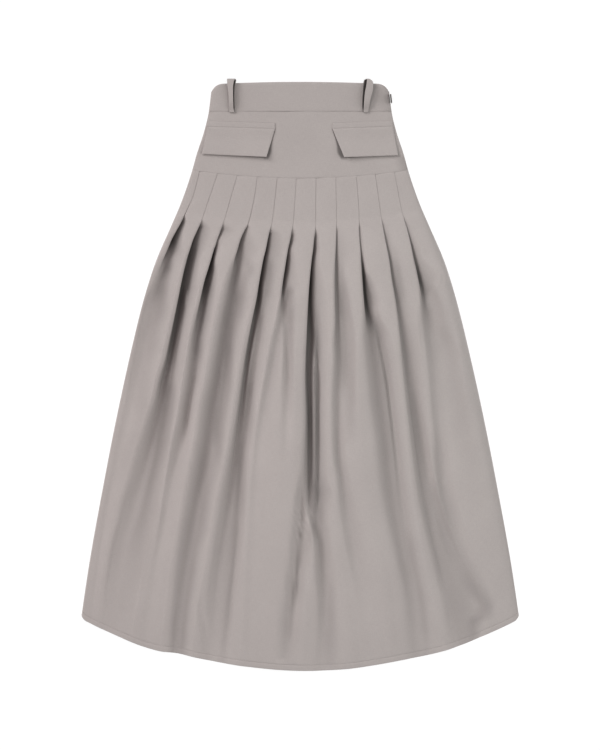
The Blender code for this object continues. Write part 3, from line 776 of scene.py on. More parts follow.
pleatedFront = {
    "wall": 0.3,
    "layer": 0.36,
    "underlay": 16.0,
    "sideUnderlay": 7.0,
    "opening": 0.022,
    "released": (0.095, 0.13),  # share of the way down where the cloth is free of the stitching
    "sideSlope": 0.30,
    "roundingShare": 0.26,
    "leastFace": 3.0,
    "outerShare": 0.75,  # of the room at the left side that the first fold may take
    "faceSwell": 2.0,
    "swellFrom": (0.09, 0.14),
    "swellOver": (4.0, 40.0),  # width of a face that swells not at all, and in full
    "roll": 22.0,
    "rollShare": 0.7,
    "rollPoints": 7,
    "sideLift": 0.4,
    "lowest": 1.7,
    "softness": (1, 1, 1, 1, 0.6, 1, 0.85, 1, 1, 0.6, 1),
    "softDepth": (14, 20, 20, 26, 14, 14, 14, 14, 26, 3, 14),
    "softOver": (0.25, 0.75),
    "shallowOver": (0.5, 1.2),  # shares of softDepth at which a fold is soft, and crisp
    "shallowFrom": (0.14, 0.2),
    "shadeSpread": 1.25,
    "creaseSpread": 1.5,
    "fullShadeAt": 0.35,  # share of the faces' height from which the half shade is whole
    # slow unevenness of a laid cloth: height, and what x, y and a shift give in each of two sines
    "unevenFrom": (0.05, 0.2),
    "uneven": ((0.35, (0.045, 0.011, 1.3), (-0.006, 0.021, 0)), (0.2, (0.11, -0.017, 0.4), (0, 0.047, 2.1))),
    "seamGroove": (0.5, 1.2),  # depth, reach
    "seamRidge": (0.2, 5.0, 3.5),  # height, place below the seam, reach
    "hemDepth": 9.4,
    "hemGroove": (0.20, 1.5),
    "hemStep": (0.15, 9.4, 8.2),  # height, and from where to where above the edge it rises
    "floorRoom": 0.4,
    # runs of rows: from and to which share of the way down, and how many
    "rowRuns": ((0.014, 0.080, 8), (0.084, 0.160, 27), (0.167, 0.300, 22), (0.312, 0.975, 48)),
    "seamRows": (0.0, 0.0008, 0.002, 0.004, 0.007),
    "hemRows": (12.5, 10.8, 10.0, 9.4, 8.8, 8.0, 5.0, 2.0, 0.8, 0.0),  # above the edge
    "hemTurnRows": slice(-7, -1),  # from the stitching down, without the edge
    "hemTurn": (0.35, 0.42, 0.85),  # how far the edge goes out and down, and the turned layer down
    # share of the way down, height of the faces, run back under the folded edge, its rounding
    "open": (
        (0.0, 4.7, 16.0, 2.0), (0.085, 5.4, 16.0, 2.0), (0.11, 10.0, 8.0, 2.0), (0.13, 14.0, 7.0, 2.0),
        (0.17, 20.5, 5.5, 2.2), (0.25, 28.0, 2.5, 3.2), (0.35, 31.0, -0.5, 5.0), (0.45, 28.0, -2.0, 5.5),
        (0.70, 17.0, -3.0, 6.0), (1.0, 7.0, -3.0, 6.0),
    ),
    # a soft fold: place across it as a share of its width, height as a share of its depth
    "wave": (
        (-0.5, 1.0), (-0.3, 0.92), (-0.12, 0.75), (0.02, 0.5), (0.15, 0.26), (0.3, 0.07),
        (0.45, 0.0), (0.61, 0.07), (0.78, 0.22), (0.98, 0.46), (1.2, 0.72), (1.45, 0.94),
    ),
}

crownCurve = tableCurve(pleatedFront["open"], 1)
underCurve = tableCurve(pleatedFront["open"], 2)
roundingCurve = tableCurve(pleatedFront["open"], 3)


def crownHeight(x, down):
    across = abs(x) / sectionHalf(down)
    free = ease(*pleatedFront["released"], down)
    return crownCurve(down) * (1 - pleatedFront["sideSlope"] * across ** 3 * free)


def sewnFold(edge, under, top):
    # each point: place across, height
    layer = pleatedFront["layer"]
    turn = 0.5 * layer
    middle, low = top - layer, top - 2 * layer
    return np.array([
        (edge - 4 * turn, top), (edge - turn, top), (edge, top - turn), (edge - turn, middle),
        (edge - under + turn, middle), (edge - under, middle - turn), (edge - under + turn, low),
        (edge - 0.4 * under, low), (edge + 0.8, low), (edge + 4.0, blend(low, top, 0.35)),
        (edge + 9.0, blend(low, top, 0.78)), (edge + 14.0, top),
    ])


def crispFold(edge, under, width, shelf, rounding, low, top, nextTop):
    depth, climb = top - low, nextTop - low
    r = min(rounding, pleatedFront["roundingShare"] * depth)
    far, foot = edge + width, edge - under
    floor = foot + 1.3 * r
    return np.array([
        (edge - 2.2 * r, top), (edge - 0.7 * r, top - 0.28 * r), (edge, top - r),
        (blend(edge, foot, 0.18) - 0.2 * r, top - 1.8 * r), (foot, low + 1.5 * r),
        (foot + 0.3 * r, low + 0.45 * r), (floor, low),
        (blend(floor, far, 0.55), low + 0.15 * climb), (far + 0.1 * r, low + 0.44 * climb),
        (far + 0.15 * shelf + 0.6 * r, low + 0.60 * climb),
        (far + 0.55 * shelf + 1.0 * r, low + 0.78 * climb), (far + shelf + 1.4 * r, low + 0.94 * climb),
    ])


def softFold(edge, width, low, top, nextTop):
    return np.array([
        (edge + across * width, blend(low, nextTop if across > 0.5 else top, level))
        for across, level in pleatedFront["wave"]
    ])


def shadeAtDown(downs, rows, table, unit=1.0):
    # a table against the height in the picture, read at a share of the way down
    read, heights = tableCurve(table), curveThrough(downs, [row[0] for row in rows])
    return lambda down: unit * float(read(heights(down)))


def foldCurves():
    # the tables of the folds, as curves down the pleats
    step, centreX, centreY = reading["step"], reading["x"], reading["y"]
    curves = []
    for rows, shades, shelves in zip(foldLines, foldShades, foldShelves):
        edges = [(x - centreX) * step for _, x, _, _ in rows]
        downs = [downAt(x, (centreY - row[0]) * step) for x, row in zip(edges, rows)]
        downs[0], downs[-1] = 0.0, 1.0
        curves.append({
            "start": downs[1],
            "edge": curveThrough(downs, edges),
            "width": curveThrough(downs, [row[2] * step for row in rows]),
            "depth": curveThrough(downs, [row[3] for row in rows]),
            "shade": shadeAtDown(downs, rows, shades),
            "shelf": shadeAtDown(downs, rows, shelves, step),
        })
    return curves


def frontSection(down, curves):
    # the whole front at one station, from the left side to the right, as (x, height, shade)
    sizes = pleatedFront
    half = float(sectionHalf(down)) - 0.5 * sizes["wall"]
    ground = sizes["wall"] + garment["seamGap"] + sizes["sideLift"]
    edges = [float(c["edge"](down)) for c in curves]
    folds = []
    for number, (edge, c) in enumerate(zip(edges, curves)):
        width = float(c["width"](down))
        top, nextTop = float(crownHeight(edge, down)), float(crownHeight(edge + width, down))
        depth = min(float(c["depth"](down)), top - sizes["lowest"])
        low = top - depth
        opened = float(ease(c["start"], c["start"] + sizes["opening"], down))
        shallow = ease(*(share * sizes["softDepth"][number] for share in sizes["shallowOver"]), depth)
        soft = sizes["softness"][number] * float(ease(*sizes["softOver"], down))
        soft = max(soft, (1 - float(shallow)) * float(ease(*sizes["shallowFrom"], down)))
        sewnUnder = sizes["sideUnderlay"] if number == 0 else sizes["underlay"]
        under = min(float(underCurve(down)), sewnUnder)
        rounding = float(roundingCurve(down))
        crisp = crispFold(edge, under, width, c["shelf"](down), rounding, low, top, nextTop)
        wave = softFold(edge, width, low, top, nextTop)
        fold = blend(sewnFold(edge, sewnUnder, top), blend(crisp, wave, soft), opened)
        # painted shade, darker the deeper the cloth lies in the hollow
        sunk = np.clip(1.06 * (top - fold[:, 1]) / max(depth, 1.0) - 0.04, 0, 1)
        dark = c["shade"](down) * sunk ** sizes["shadeSpread"]
        folds.append(np.column_stack([fold, dark * opened]))
    outerRoom = sizes["outerShare"] * (edges[0] + half)
    out = folds[0][:, 0] < edges[0]
    squeeze = min(1.0, outerRoom / (edges[0] - folds[0][0, 0]))
    folds[0][out, 0] = edges[0] + (folds[0][out, 0] - edges[0]) * squeeze
    for i in range(len(folds) - 1):  # the facing sides of two folds share the room between them
        room = edges[i + 1] - edges[i] - sizes["leastFace"]
        wanted = folds[i][-1, 0] - edges[i] + edges[i + 1] - folds[i + 1][0, 0]
        share = min(1.0, room / wanted)
        right = folds[i][:, 0] > edges[i]
        left = folds[i + 1][:, 0] < edges[i + 1]
        folds[i][right, 0] = edges[i] + (folds[i][right, 0] - edges[i]) * share
        folds[i + 1][left, 0] = edges[i + 1] + (folds[i + 1][left, 0] - edges[i + 1]) * share

    leftFace, rightFace = folds[0][0], folds[-1][-1]
    leftRoll = min(sizes["roll"], sizes["rollShare"] * (leftFace[0] + half))
    rightRoll = min(sizes["roll"], sizes["rollShare"] * (half - rightFace[0]))
    rightTop = float(crownHeight(half - rightRoll, down))
    swell = sizes["faceSwell"] * float(ease(*sizes["swellFrom"], down))
    turns = np.linspace(0, 0.5 * math.pi, sizes["rollPoints"])
    out, up, plain = 1 - np.cos(turns), np.sin(turns), 0 * turns
    left = np.stack([-half + leftRoll * out, blend(ground, leftFace[1], up), plain], 1)
    right = np.stack([half - rightRoll * out, blend(ground, rightTop, up), plain], 1)[::-1]
    pieces = [left]
    for number, fold in enumerate(folds):
        before = pieces[-1][-1]
        if number:
            wide = float(ease(*sizes["swellOver"], fold[0, 0] - before[0]))
            for share in (0.2, 0.4, 0.6, 0.8):
                between = blend(before, fold[0], share)
                bulge = swell * wide * 4 * share * (1 - share)
                pieces.append(np.array([(between[0], between[1] + bulge, 0.0)]))
        else:
            pieces.append(np.array([blend(before, fold[0], 0.5)]))
        pieces.append(fold)
    pieces.append(np.array([blend(pieces[-1][-1], right[0], 0.5)]))
    pieces.append(right)
    return np.concatenate(pieces)


def refined(points):
    # one more point in each gap, on a smooth curve whose knots follow the gaps
    before = 2 * points[:, :1] - points[:, 1:2]
    after = 2 * points[:, -1:] - points[:, -2:-1]
    padded = np.concatenate([before, points, after], 1)
    p0, p1, p2, p3 = padded[:, :-3], padded[:, 1:-2], padded[:, 2:-1], padded[:, 3:]

    def knot(a, b):
        return np.maximum(np.linalg.norm((b - a)[..., :2], axis=-1, keepdims=True), 1e-6) ** 0.5

    t1 = knot(p0, p1)
    t2 = t1 + knot(p1, p2)
    t3 = t2 + knot(p2, p3)
    t = 0.5 * (t1 + t2)
    a1 = p0 * (t1 - t) / t1 + p1 * t / t1
    a2 = (p1 * (t2 - t) + p2 * (t - t1)) / (t2 - t1)
    a3 = (p2 * (t3 - t) + p3 * (t - t2)) / (t3 - t2)
    b1 = (a1 * (t2 - t) + a2 * t) / t2
    b2 = (a2 * (t3 - t) + a3 * (t - t1)) / (t3 - t1)
    middle = (b1 * (t2 - t) + b2 * (t - t1)) / (t2 - t1)
    full = np.empty((points.shape[0], points.shape[1] * 2 - 1, points.shape[2]))
    full[:, ::2] = points
    full[:, 1::2] = middle
    return full


def frontStations():
    # closer together at the seam, where the pleats open, and at the hem
    runs = [np.linspace(*run) for run in pleatedFront["rowRuns"]]
    length = garment["pleatSeam"] - garment["hem"]
    hemShares = 1 - np.array(pleatedFront["hemRows"]) / length
    return np.concatenate([pleatedFront["seamRows"], *runs, hemShares]), length


def softStrip(rows, picture, across):
    # a strip down the cloth: the last column of its table, most along the middle
    middle, reach, most = (tableCurve(rows, column)(picture) for column in (1, 2, 3))
    inside = (picture > rows[0][0]) & (picture < rows[-1][0])
    return np.where(inside, most * hump(across - middle, reach * pleatedFront["creaseSpread"]), 0.0)


def makePleatedFront():
    sizes = pleatedFront
    curves = foldCurves()
    downs, length = frontStations()
    sections = refined(np.array([frontSection(down, curves) for down in downs]))
    x, z, shade = sections[..., 0], sections[..., 1], np.clip(sections[..., 2], 0, 1)
    down = np.broadcast_to(downs[:, None], x.shape)
    y = np.array([sectionY(row, d) for row, d in zip(x, downs)])
    crown = crownHeight(x, down)
    raised = np.clip((z - sizes["lowest"]) / np.maximum(crown - sizes["lowest"], 1.0), 0, 1)

    # soft creases, and painted half shade on what stands up
    picture = reading["y"] - y / reading["step"]
    pictureX = reading["x"] + x / reading["step"]
    drop = np.zeros_like(z)
    for rows in softCreases.values():
        drop += softStrip(rows, picture, pictureX)
    lifted = ease(0.0, sizes["fullShadeAt"], raised)
    for rows in softShades.values():
        shade = shade + softStrip(rows, picture, pictureX) * lifted
    uneven = slowWaves(sizes["uneven"], x, y) * ease(*sizes["unevenFrom"], down)
    z = z - drop * raised + uneven * raised
    for rows in softRidges.values():
        z += softStrip(rows, picture, pictureX)

    # the seam groove at the top, and the hem with its line of stitching
    fromSeam = down * length
    ridge, ridgeAt, ridgeReach = sizes["seamRidge"]
    z = z - fallAt(sizes["seamGroove"], fromSeam) + ridge * hump(fromSeam - ridgeAt, ridgeReach)
    fromHem = (1 - down) * length
    step, stepLow, stepHigh = sizes["hemStep"]
    groove, grooveReach = sizes["hemGroove"]
    z = z + step * ease(stepLow, stepHigh, fromHem) - groove * hump(fromHem - sizes["hemDepth"], grooveReach)
    z = np.maximum(z, sizes["lowest"] - sizes["floorRoom"])
    y = y - seamShift * (1 - down)

    rows = np.stack([x, y, z], -1)
    inside = sizes["hemTurnRows"]
    turned = rows[inside][::-1].copy()  # the hem is turned up inside
    edge = rows[-1:].copy()
    edgeOut, edgeDown, turnDown = sizes["hemTurn"]
    turned[..., 2] -= turnDown
    edge[..., 1] -= edgeOut
    edge[..., 2] -= edgeDown
    allRows = np.concatenate([rows, edge, turned])
    allShade = np.clip(np.concatenate([shade, shade[-1:], shade[inside][::-1]]), 0, 1)
    steps = np.linalg.norm(np.diff(allRows[..., (0, 2)], axis=1), axis=-1)
    along = np.concatenate([np.zeros((len(allRows), 1)), np.cumsum(steps, axis=1)], 1) * mm
    along -= along[:, along.shape[1] // 2][:, None]  # counted from the middle of each row
    unfolded = np.concatenate([downs, [1.0005], 2 - downs[inside][::-1]])
    grain = np.stack([along, np.broadcast_to(-unfolded[:, None] * length * mm, along.shape)], -1)
    piece = sewn("front_skirt", "pleatedFront", allRows, sizes["wall"], shade=allShade, grain=grain)
    atSeam, atHem = (steps[k].sum() for k in (0, len(rows) - 1))
    print(f"pleated front: {len(foldLines)} folds, {atSeam:.0f} mm wide at the seam, {atHem:.0f} mm at the hem")
    return piece, rows[inside][0]


front, hemLine = makePleatedFront()

# Short stitches just above the cloth; the tip and the rise are shares of the radius.
hemStitch = {
    "pitch": 3.0,
    "length": 2.1,
    "radius": 0.26,
    "above": 0.32,
    "tip": 0.35,
    "rise": 0.7,
    "sides": 6,
    "rings": 5,
    "fromSide": 3,  # points of the hem that stay plain at each side
}

stitched = hemLine[hemStitch["fromSide"]:-hemStitch["fromSide"]] + (0, 0, hemStitch["above"])
hemThread = stitchRow("hemStitches", stitched, hemStitch)
print("hem sewn")

# Plain panels.

panels = {
    # painted shade at the right side, where the cloth turns away: how dark, how far in it reaches, and from
    # where down to where it grows on the yoke
    "yokeSidePaintedShade": 0.2,
    "bandSidePaintedShade": 0.14,
    "sideReach": 24.0,
    "sideDarkFrom": (376, 366),
    "rollPoints": 8,
    "across": 60,
    "finerYoke": 4,
    "skirtWall": 0.8,
    "yokeWall": 1.0,
    "bandWall": 1.6,
    "skirtRoll": 22.0,
    "yokeRoll": 15.0,
    "bandRoll": 12.0,
    "yokeGround": 1.9,
    "bandGround": 2.9,
    "yokeCrown": 4.3,
    "bandCrown": 5.1,
    "yokeInset": 0.5,
    "bandInset": 0.8,
    "yokeSteps": 28,
    "bandSteps": 26,
    "backSteps": 70,
    # half the width in which the cloth is uneven, and its waves as in pleatedFront
    "yokeUnevenWithin": 190,
    "bandUnevenWithin": 175,
    "yokeUneven": ((0.22, (0.05, 0, 0.7), (0, 0.06, 0)), (0.14, (0.023, -0.09, 1.0), (0, 0, 0.5 * math.pi))),
    "bandUneven": ((0.18, (0.043, 0, 0.2), (0, 0.11, 0)), (0.12, (0.09, 0.05, 0), (0, 0, 0.5 * math.pi))),
    # how far the cloth falls at its upper and at its lower edge, and how far in that fades
    "yokeEdges": ((0.06, 1.6), (0.4, 1.3)),
    "bandEdges": ((1.5, 1.4), (0.5, 3.0)),
}

flaps = {
    "wall": 1.3,
    "weltWall": 1.0,
    "length": 112,
    "height": 48,
    "points": (44, 26, 8),  # across, down a flap, down a welt
    "clear": 0.2,
    "belly": (0.9, 0.06),  # rise below the welt, and the share of the way down by which it is whole
    "dip": (0.95, 0.42),  # sag, and the share of the way down where it is deepest
    "turnIn": (7.0, 6.0),  # from the edges, where the turned-in cloth ends inside
    "turnStep": 0.18,
    "edge": (0.55, 0.9),  # fall at the edges, and how far in it fades
    "liftOuter": 1.5,
    "liftInner": 5.0,
    "weltHeight": 9.5,
    "weltClear": 0.1,
    "weltPuff": 0.35,
    "weltEdge": (0.5, 0.8),
    "weltEnds": 0.6,  # share of the flaps' fall at the ends
    # painted shadow on the yoke beside the lower edge: how dark at its outer and its inner end, how far it
    # reaches
    "under": (0.25, 0.80, 1.3),
    # painted shadow on the yoke beside the inner edge: how dark, and its reach down the edge
    "beside": 0.62,
    "leftReach": ((0, 1.1), (0.3, 1.6), (0.6, 3.2), (0.85, 6.0), (1, 5.0)),
    "rightReach": ((0, 1.3), (0.3, 2.4), (0.6, 5.0), (0.85, 9.0), (1, 7.5)),
    "left": {
        "topOuter": (-157, 422), "topInner": (-42.8, 418.6),
        "lowInner": (-57.3, 370.2), "lowOuter": (-167, 375.6),
    },
    "right": {
        "topOuter": (157.5, 422.6), "topInner": (54.9, 418.6),
        "lowInner": (74.8, 369.8), "lowOuter": (166, 373.2),
    },
}


def acrossPlaces(half, roll, count):
    turns = np.linspace(0, 0.5 * math.pi, panels["rollPoints"], endpoint=False)
    rolled = half - roll * (1 - np.cos(turns))
    flat = np.linspace(-(half - roll), half - roll, count)
    return np.concatenate([-rolled, flat, rolled[::-1]])


def panelHeight(x, half, ground, crown, roll):
    share = np.clip((half - np.abs(x)) / roll, 0, 1)
    return blend(ground, crown, np.sqrt(1 - (1 - share) ** 2))


def yokeHeight(x, y):
    half = halfWidth(y) - 0.5 * panels["yokeWall"]
    return panelHeight(x, half, panels["yokeGround"], panels["yokeCrown"], panels["yokeRoll"])


def bandHeight(x, y):
    half = halfWidth(y) - 0.5 * panels["bandWall"]
    return panelHeight(x, half, panels["bandGround"], panels["bandCrown"], panels["bandRoll"])


def evenSteps(count, ends=(0.002, 0.006, 0.014)):
    first = 2 * ends[-1]
    inner = np.linspace(first, 1 - first, count)
    return np.concatenate([[0], ends, inner, 1 - np.array(ends[::-1]), [1]])


def flatHeight(x, *_):
    return 0 * x


def yokeRows(inset=0.0, height=flatHeight, finer=1):
    rows = []
    for share in evenSteps(panels["yokeSteps"] * finer):
        level = blend(garment["waistSeam"], sideSeamY, share)
        x = acrossPlaces(float(halfWidth(level)) - inset, panels["yokeRoll"], panels["across"] * finer)
        top, low = garment["waistSeam"] - seamShift, seamY(x) + seamShift
        y = blend(top, low, share)
        rows.append(np.stack([x, y, height(x, y, level, top - y, y - low)], 1))
    return np.array(rows)


def bandRows(inset=0.0, height=flatHeight):
    rows = []
    sideTop = float(waistTopY(bandTopHalf))
    for share in evenSteps(panels["bandSteps"], (0.006, 0.016, 0.032, 0.055)):
        level = blend(sideTop, garment["waistSeam"], share)
        reach = float(halfWidth(level)) - inset
        x = acrossPlaces(reach, panels["bandRoll"], panels["across"])
        top = waistTopY(x * bandTopHalf / (reach + inset))
        low = garment["waistSeam"] + seamShift
        y = blend(top, low, share)
        rows.append(np.stack([x, y, height(x, y, level, top - y, y - low)], 1))
    return np.array(rows)


def frontYokeHeight(x, y, level, below, above):
    uneven = slowWaves(panels["yokeUneven"], x, y)
    z = yokeHeight(x, level) + uneven * hump(x, panels["yokeUnevenWithin"])
    upper, lower = panels["yokeEdges"]
    return z - fallAt(upper, below) - fallAt(lower, above)


def frontBandHeight(x, y, level, below, above):
    uneven = slowWaves(panels["bandUneven"], x, y)
    z = bandHeight(x, level) + uneven * hump(x, panels["bandUnevenWithin"])
    upper, lower = panels["bandEdges"]
    return z - fallAt(upper, below) - fallAt(lower, above)


def shadeBesideFlaps(x, y):
    # painted shadow: the yoke is darkened close under the lifted edges of the flaps
    dark = np.zeros_like(x)
    outerDark, innerDark, reach = flaps["under"]
    for side, way in (("left", 1), ("right", -1)):
        topInner, lowInner, lowOuter = (flaps[side][name] for name in ("topInner", "lowInner", "lowOuter"))
        along = (x - lowOuter[0]) / (lowInner[0] - lowOuter[0])
        below = blend(lowOuter[1], lowInner[1], along) - y
        strength = blend(outerDark, innerDark, np.clip(along, 0, 1) ** 2)
        strength = strength * ease(-0.02, 0.03, along) * ease(1.04, 0.99, along)
        under = strength * np.exp(-(np.maximum(below, 0) / reach) ** 1.3) * ease(-6, -3, below)
        down = (topInner[1] - y) / (topInner[1] - lowInner[1])
        beyond = (x - blend(topInner[0], lowInner[0], down)) * way
        reached = tableCurve(flaps[side + "Reach"])(np.clip(down, 0, 1))
        wedge = flaps["beside"] * ease(1.2, 0.55, np.maximum(beyond, 0) / reached) * ease(-6, -3, beyond)
        wedge = wedge * ease(-0.03, 0.03, down) * ease(1.12, 0.98, down)
        dark = np.maximum(dark, np.maximum(under, wedge))
    return dark


def shadeAtRightSide(x, y, dark):
    # painted shade that darkens the cloth towards its right side
    return dark * ease(panels["sideReach"], 0, halfWidth(y) - x)


yokePoints = yokeRows(panels["yokeInset"], frontYokeHeight, panels["finerYoke"])
yokeX, yokeY = yokePoints[..., 0], yokePoints[..., 1]
# painted shade at the right side and painted shadow beside the flaps
sideShade = shadeAtRightSide(yokeX, yokeY, panels["yokeSidePaintedShade"]) * ease(*panels["sideDarkFrom"], yokeY)
yokeShade = shadeBesideFlaps(yokeX, yokeY) + sideShade
yokeFront = sewn("front_yoke", "yokeFront", yokePoints, panels["yokeWall"], shade=yokeShade)
bandPoints = bandRows(panels["bandInset"], frontBandHeight)
bandShade = shadeAtRightSide(bandPoints[..., 0], bandPoints[..., 1], panels["bandSidePaintedShade"])
bandFront = sewn("front_waistband", "waistbandFront", bandPoints, panels["bandWall"], shade=bandShade)
yokeBack = sewn("back_yoke", "yokeBack", yokeRows(), panels["yokeWall"], 1.0)
bandBack = sewn("back_waistband", "waistbandBack", bandRows(), panels["bandWall"], 1.0)

backDowns = np.linspace(0.02, 0.985, panels["backSteps"])
backRows = []
for down in np.concatenate([(0, 0.0008, 0.002, 0.006), backDowns, (0.9885, 0.9905, 0.995, 1.0)]):
    x = acrossPlaces(float(sectionHalf(down)), panels["skirtRoll"], panels["across"])
    y = sectionY(x, down) - 0.5 * garment["seamGap"] * (1 - down)
    backRows.append(np.stack([x, y, flatHeight(x)], 1))
skirtBack = sewn("back_skirt", "pleatedBack", backRows, panels["skirtWall"], 1.0)
print("yoke, waistband and back made")

# Pocket flaps.


def patchRows(corners, height, across, down):
    # a four-sided piece from its two upper corners to its two lower ones
    upperLeft, upperRight, lowRight, lowLeft = (np.array(c, float) for c in corners)
    rows = []
    for d in down:
        start, end = blend(upperLeft, lowLeft, d), blend(upperRight, lowRight, d)
        points = start[None, :] + (end - start)[None, :] * across[:, None]
        z = height(points[:, 0], points[:, 1], across, d)
        rows.append(np.column_stack([points, z]))
    return np.array(rows)


def makeFlap(side):
    outerFirst = side == "left"
    order = ("topOuter", "topInner", "lowInner", "lowOuter")
    if not outerFirst:
        order = ("topInner", "topOuter", "lowOuter", "lowInner")
    corners = [flaps[side][name] for name in order]
    length, height, turnIn, step = (flaps[name] for name in ("length", "height", "turnIn", "turnStep"))
    acrossCount, flapCount, weltCount = flaps["points"]
    across = evenSteps(acrossCount, (0.006, 0.014))

    def sideFall(a):
        return fallAt(flaps["edge"], np.minimum(a, 1 - a) * length)

    def flapHeight(x, y, a, d):
        inner = a if outerFirst else 1 - a
        lift = blend(flaps["liftOuter"], flaps["liftInner"], inner * inner) * d ** 1.5
        (belly, bellyBy), (dip, dipAt) = flaps["belly"], flaps["dip"]
        bulge = belly * ease(0.0, bellyBy, d) - dip * hump(d - dipAt, dipAt)
        base = yokeHeight(x, y) + 0.5 * (panels["yokeWall"] + flaps["wall"]) + flaps["clear"]
        turned = step * ease(*turnIn, (1 - d) * height) + step * ease(*turnIn, (1 - inner) * length)
        return base + lift + bulge + turned - sideFall(a) - fallAt(flaps["edge"], (1 - d) * height)

    def weltHeightAt(x, y, a, d):
        near = np.minimum(d, 1 - d) * flaps["weltHeight"]
        base = yokeHeight(x, y) + 0.5 * (panels["yokeWall"] + flaps["weltWall"]) + flaps["weltClear"]
        return base + flaps["weltPuff"] - fallAt(flaps["weltEdge"], near) - sideFall(a) * flaps["weltEnds"]

    flapRows = patchRows(corners, flapHeight, across, evenSteps(flapCount, (0.012, 0.03)))
    crest = [(x, y + flaps["weltHeight"]) for x, y in corners[:2]]
    base = [(x, y + garment["seamGap"]) for x, y in corners[:2]]
    weltRows = patchRows(crest + base[::-1], weltHeightAt, across, evenSteps(weltCount, (0.03, 0.08)))
    flap = sewn(side + "_flap", side + "PocketFlap", flapRows, flaps["wall"])
    return flap, sewn(side + "_welt", side + "PocketWelt", weltRows, flaps["weltWall"])


leftFlap, leftWelt = makeFlap("left")
rightFlap, rightWelt = makeFlap("right")
print("pocket flaps made")

# Belt loops.

beltLoops = {
    "wall": 1.2,
    "shares": (0.0, 0.05, 0.15, 0.35, 0.6, 0.82, 0.94, 1.0),  # places across the strap
    "tilt": 0.9,  # rise of the inner edge, whole where the strap is this far off the band
    "liftedAt": 6.0,
    "rounding": (0.3, 0.06),
    "curl": (3.4, 474, 34),  # of the strap behind: how much, around which y, over what length
    # painted shade on the strap behind the front run, inside the loop
    "behindPaintedShade": 0.95,
    # edges of the strap: y, place across in the picture
    "left": {
        "outer": ((446, 229.6), (470, 229.2), (495, 227.6), (503, 227.2)),
        "inner": ((446, 235.0), (452, 233.6), (485, 233.2), (495, 233.6), (503, 235.2)),
        "backInner": ((446, 235.4), (455, 235.2), (485, 235.0), (495, 235.8), (503, 236.4)),
    },
    "right": {
        "outer": ((446, 368.0), (470, 370.4), (489, 373.2), (498, 372.2), (503, 368.6)),
        "inner": ((446, 363.4), (452, 363.6), (470, 364.2), (485, 365.4), (495, 366.6), (503, 367.0)),
        "backInner": ((446, 362.4), (455, 361.6), (485, 362.2), (495, 363.0), (503, 364.6)),
    },
    # its way up off the band and over its top, and back down behind: y, height over the band
    "front": (
        (446.0, 1.0), (449, 1.4), (453, 3.0), (459, 6.0), (467, 7.8), (480, 8.4), (492, 8.0), (498, 7.0),
        (501.5, 4.8), (502.6, 2.4),
    ),
    "back": (
        (501.4, 0.9), (498.0, 1.0), (490.0, 1.3), (478.0, 1.5), (466, 1.3), (456, 1.0), (449, 0.9),
        (446.5, 0.8),
    ),
}


def resampled(table, count):
    # the rows of a table, read again at even places
    places = np.linspace(0, len(table) - 1, count)
    low = np.minimum(places.astype(int), len(table) - 2)
    return blend(table[low], table[low + 1], (places - low)[:, None])


def makeBeltLoop(side):
    sizes = beltLoops
    edges = {
        name: curveThrough([y for y, _ in rows], [(x - reading["x"]) * reading["step"] for _, x in rows])
        for name, rows in sizes[side].items()
    }
    bandTop = panels["bandCrown"] + 0.5 * panels["bandWall"]
    shares = np.array(sizes["shares"])
    curl, curlAt, curlOver = sizes["curl"]
    way = [(y, over, 0.0) for y, over in sizes["front"]] + [(y, over, 1.0) for y, over in sizes["back"]]
    rows, shade = [], []
    for y, over, behind in way:
        inner = float(blend(edges["inner"](y), edges["backInner"](y), behind))
        x = blend(float(edges["outer"](y)), inner, shares)
        tilt = sizes["tilt"] * min(1.0, over / sizes["liftedAt"]) * (1 - behind)
        curled = behind * curl * hump(y - curlAt, curlOver)
        z = bandTop + over + tilt * shares + curled * shares ** 3
        z = z - fallAt(sizes["rounding"], np.minimum(shares, 1 - shares)) * (1 - behind)
        rows.append(np.stack([x, np.full_like(x, y), z], 1))
        # painted shade on the strap behind, where the front run shades it
        shade.append(behind * sizes["behindPaintedShade"] * (1 - ease(0.90, 1.0, shares)))
    rows, shade = np.array(rows), np.array(shade)
    if side == "left":
        rows, shade = rows[::-1], shade[::-1]
    rows = refined(rows)
    rows = refined(rows.transpose(1, 0, 2)).transpose(1, 0, 2)
    shade = resampled(resampled(shade, rows.shape[0]).T, rows.shape[1]).T
    return sewn(side + "_belt_loop", side + "BeltLoop", rows, sizes["wall"], shade=shade)


leftLoop, rightLoop = makeBeltLoop("left"), makeBeltLoop("right")
print("belt loops made")

# Side button.

sideButton = {
    "y": 469.5,
    "radius": 8.0,
    "thickness": 2.4,
    "tilt": math.radians(3.0),
    "holeRadius": 0.75,
    "holeOut": 1.9,
    "holes": 4,
    "gap": 0.3,  # off the cloth and off the floor
    "around": 48,
    "sharpFrom": math.radians(40),
    "colour": (0.030, 0.024, 0.021, 1),
    "streak": (0.110, 0.082, 0.066, 1),
    # from the middle of the front to its edge, then from the edge to the middle of the back:
    # distance out, height over the front face, and over the back face
    "front": (
        (0.0, -0.75), (3.4, -0.72), (4.3, -0.55), (5.0, -0.12), (5.7, 0), (7.0, -0.05), (7.7, -0.45),
        (8.0, -1.0),
    ),
    "back": ((7.85, 0.7), (7.2, 0.2), (5.5, 0), (0.0, 0)),
}


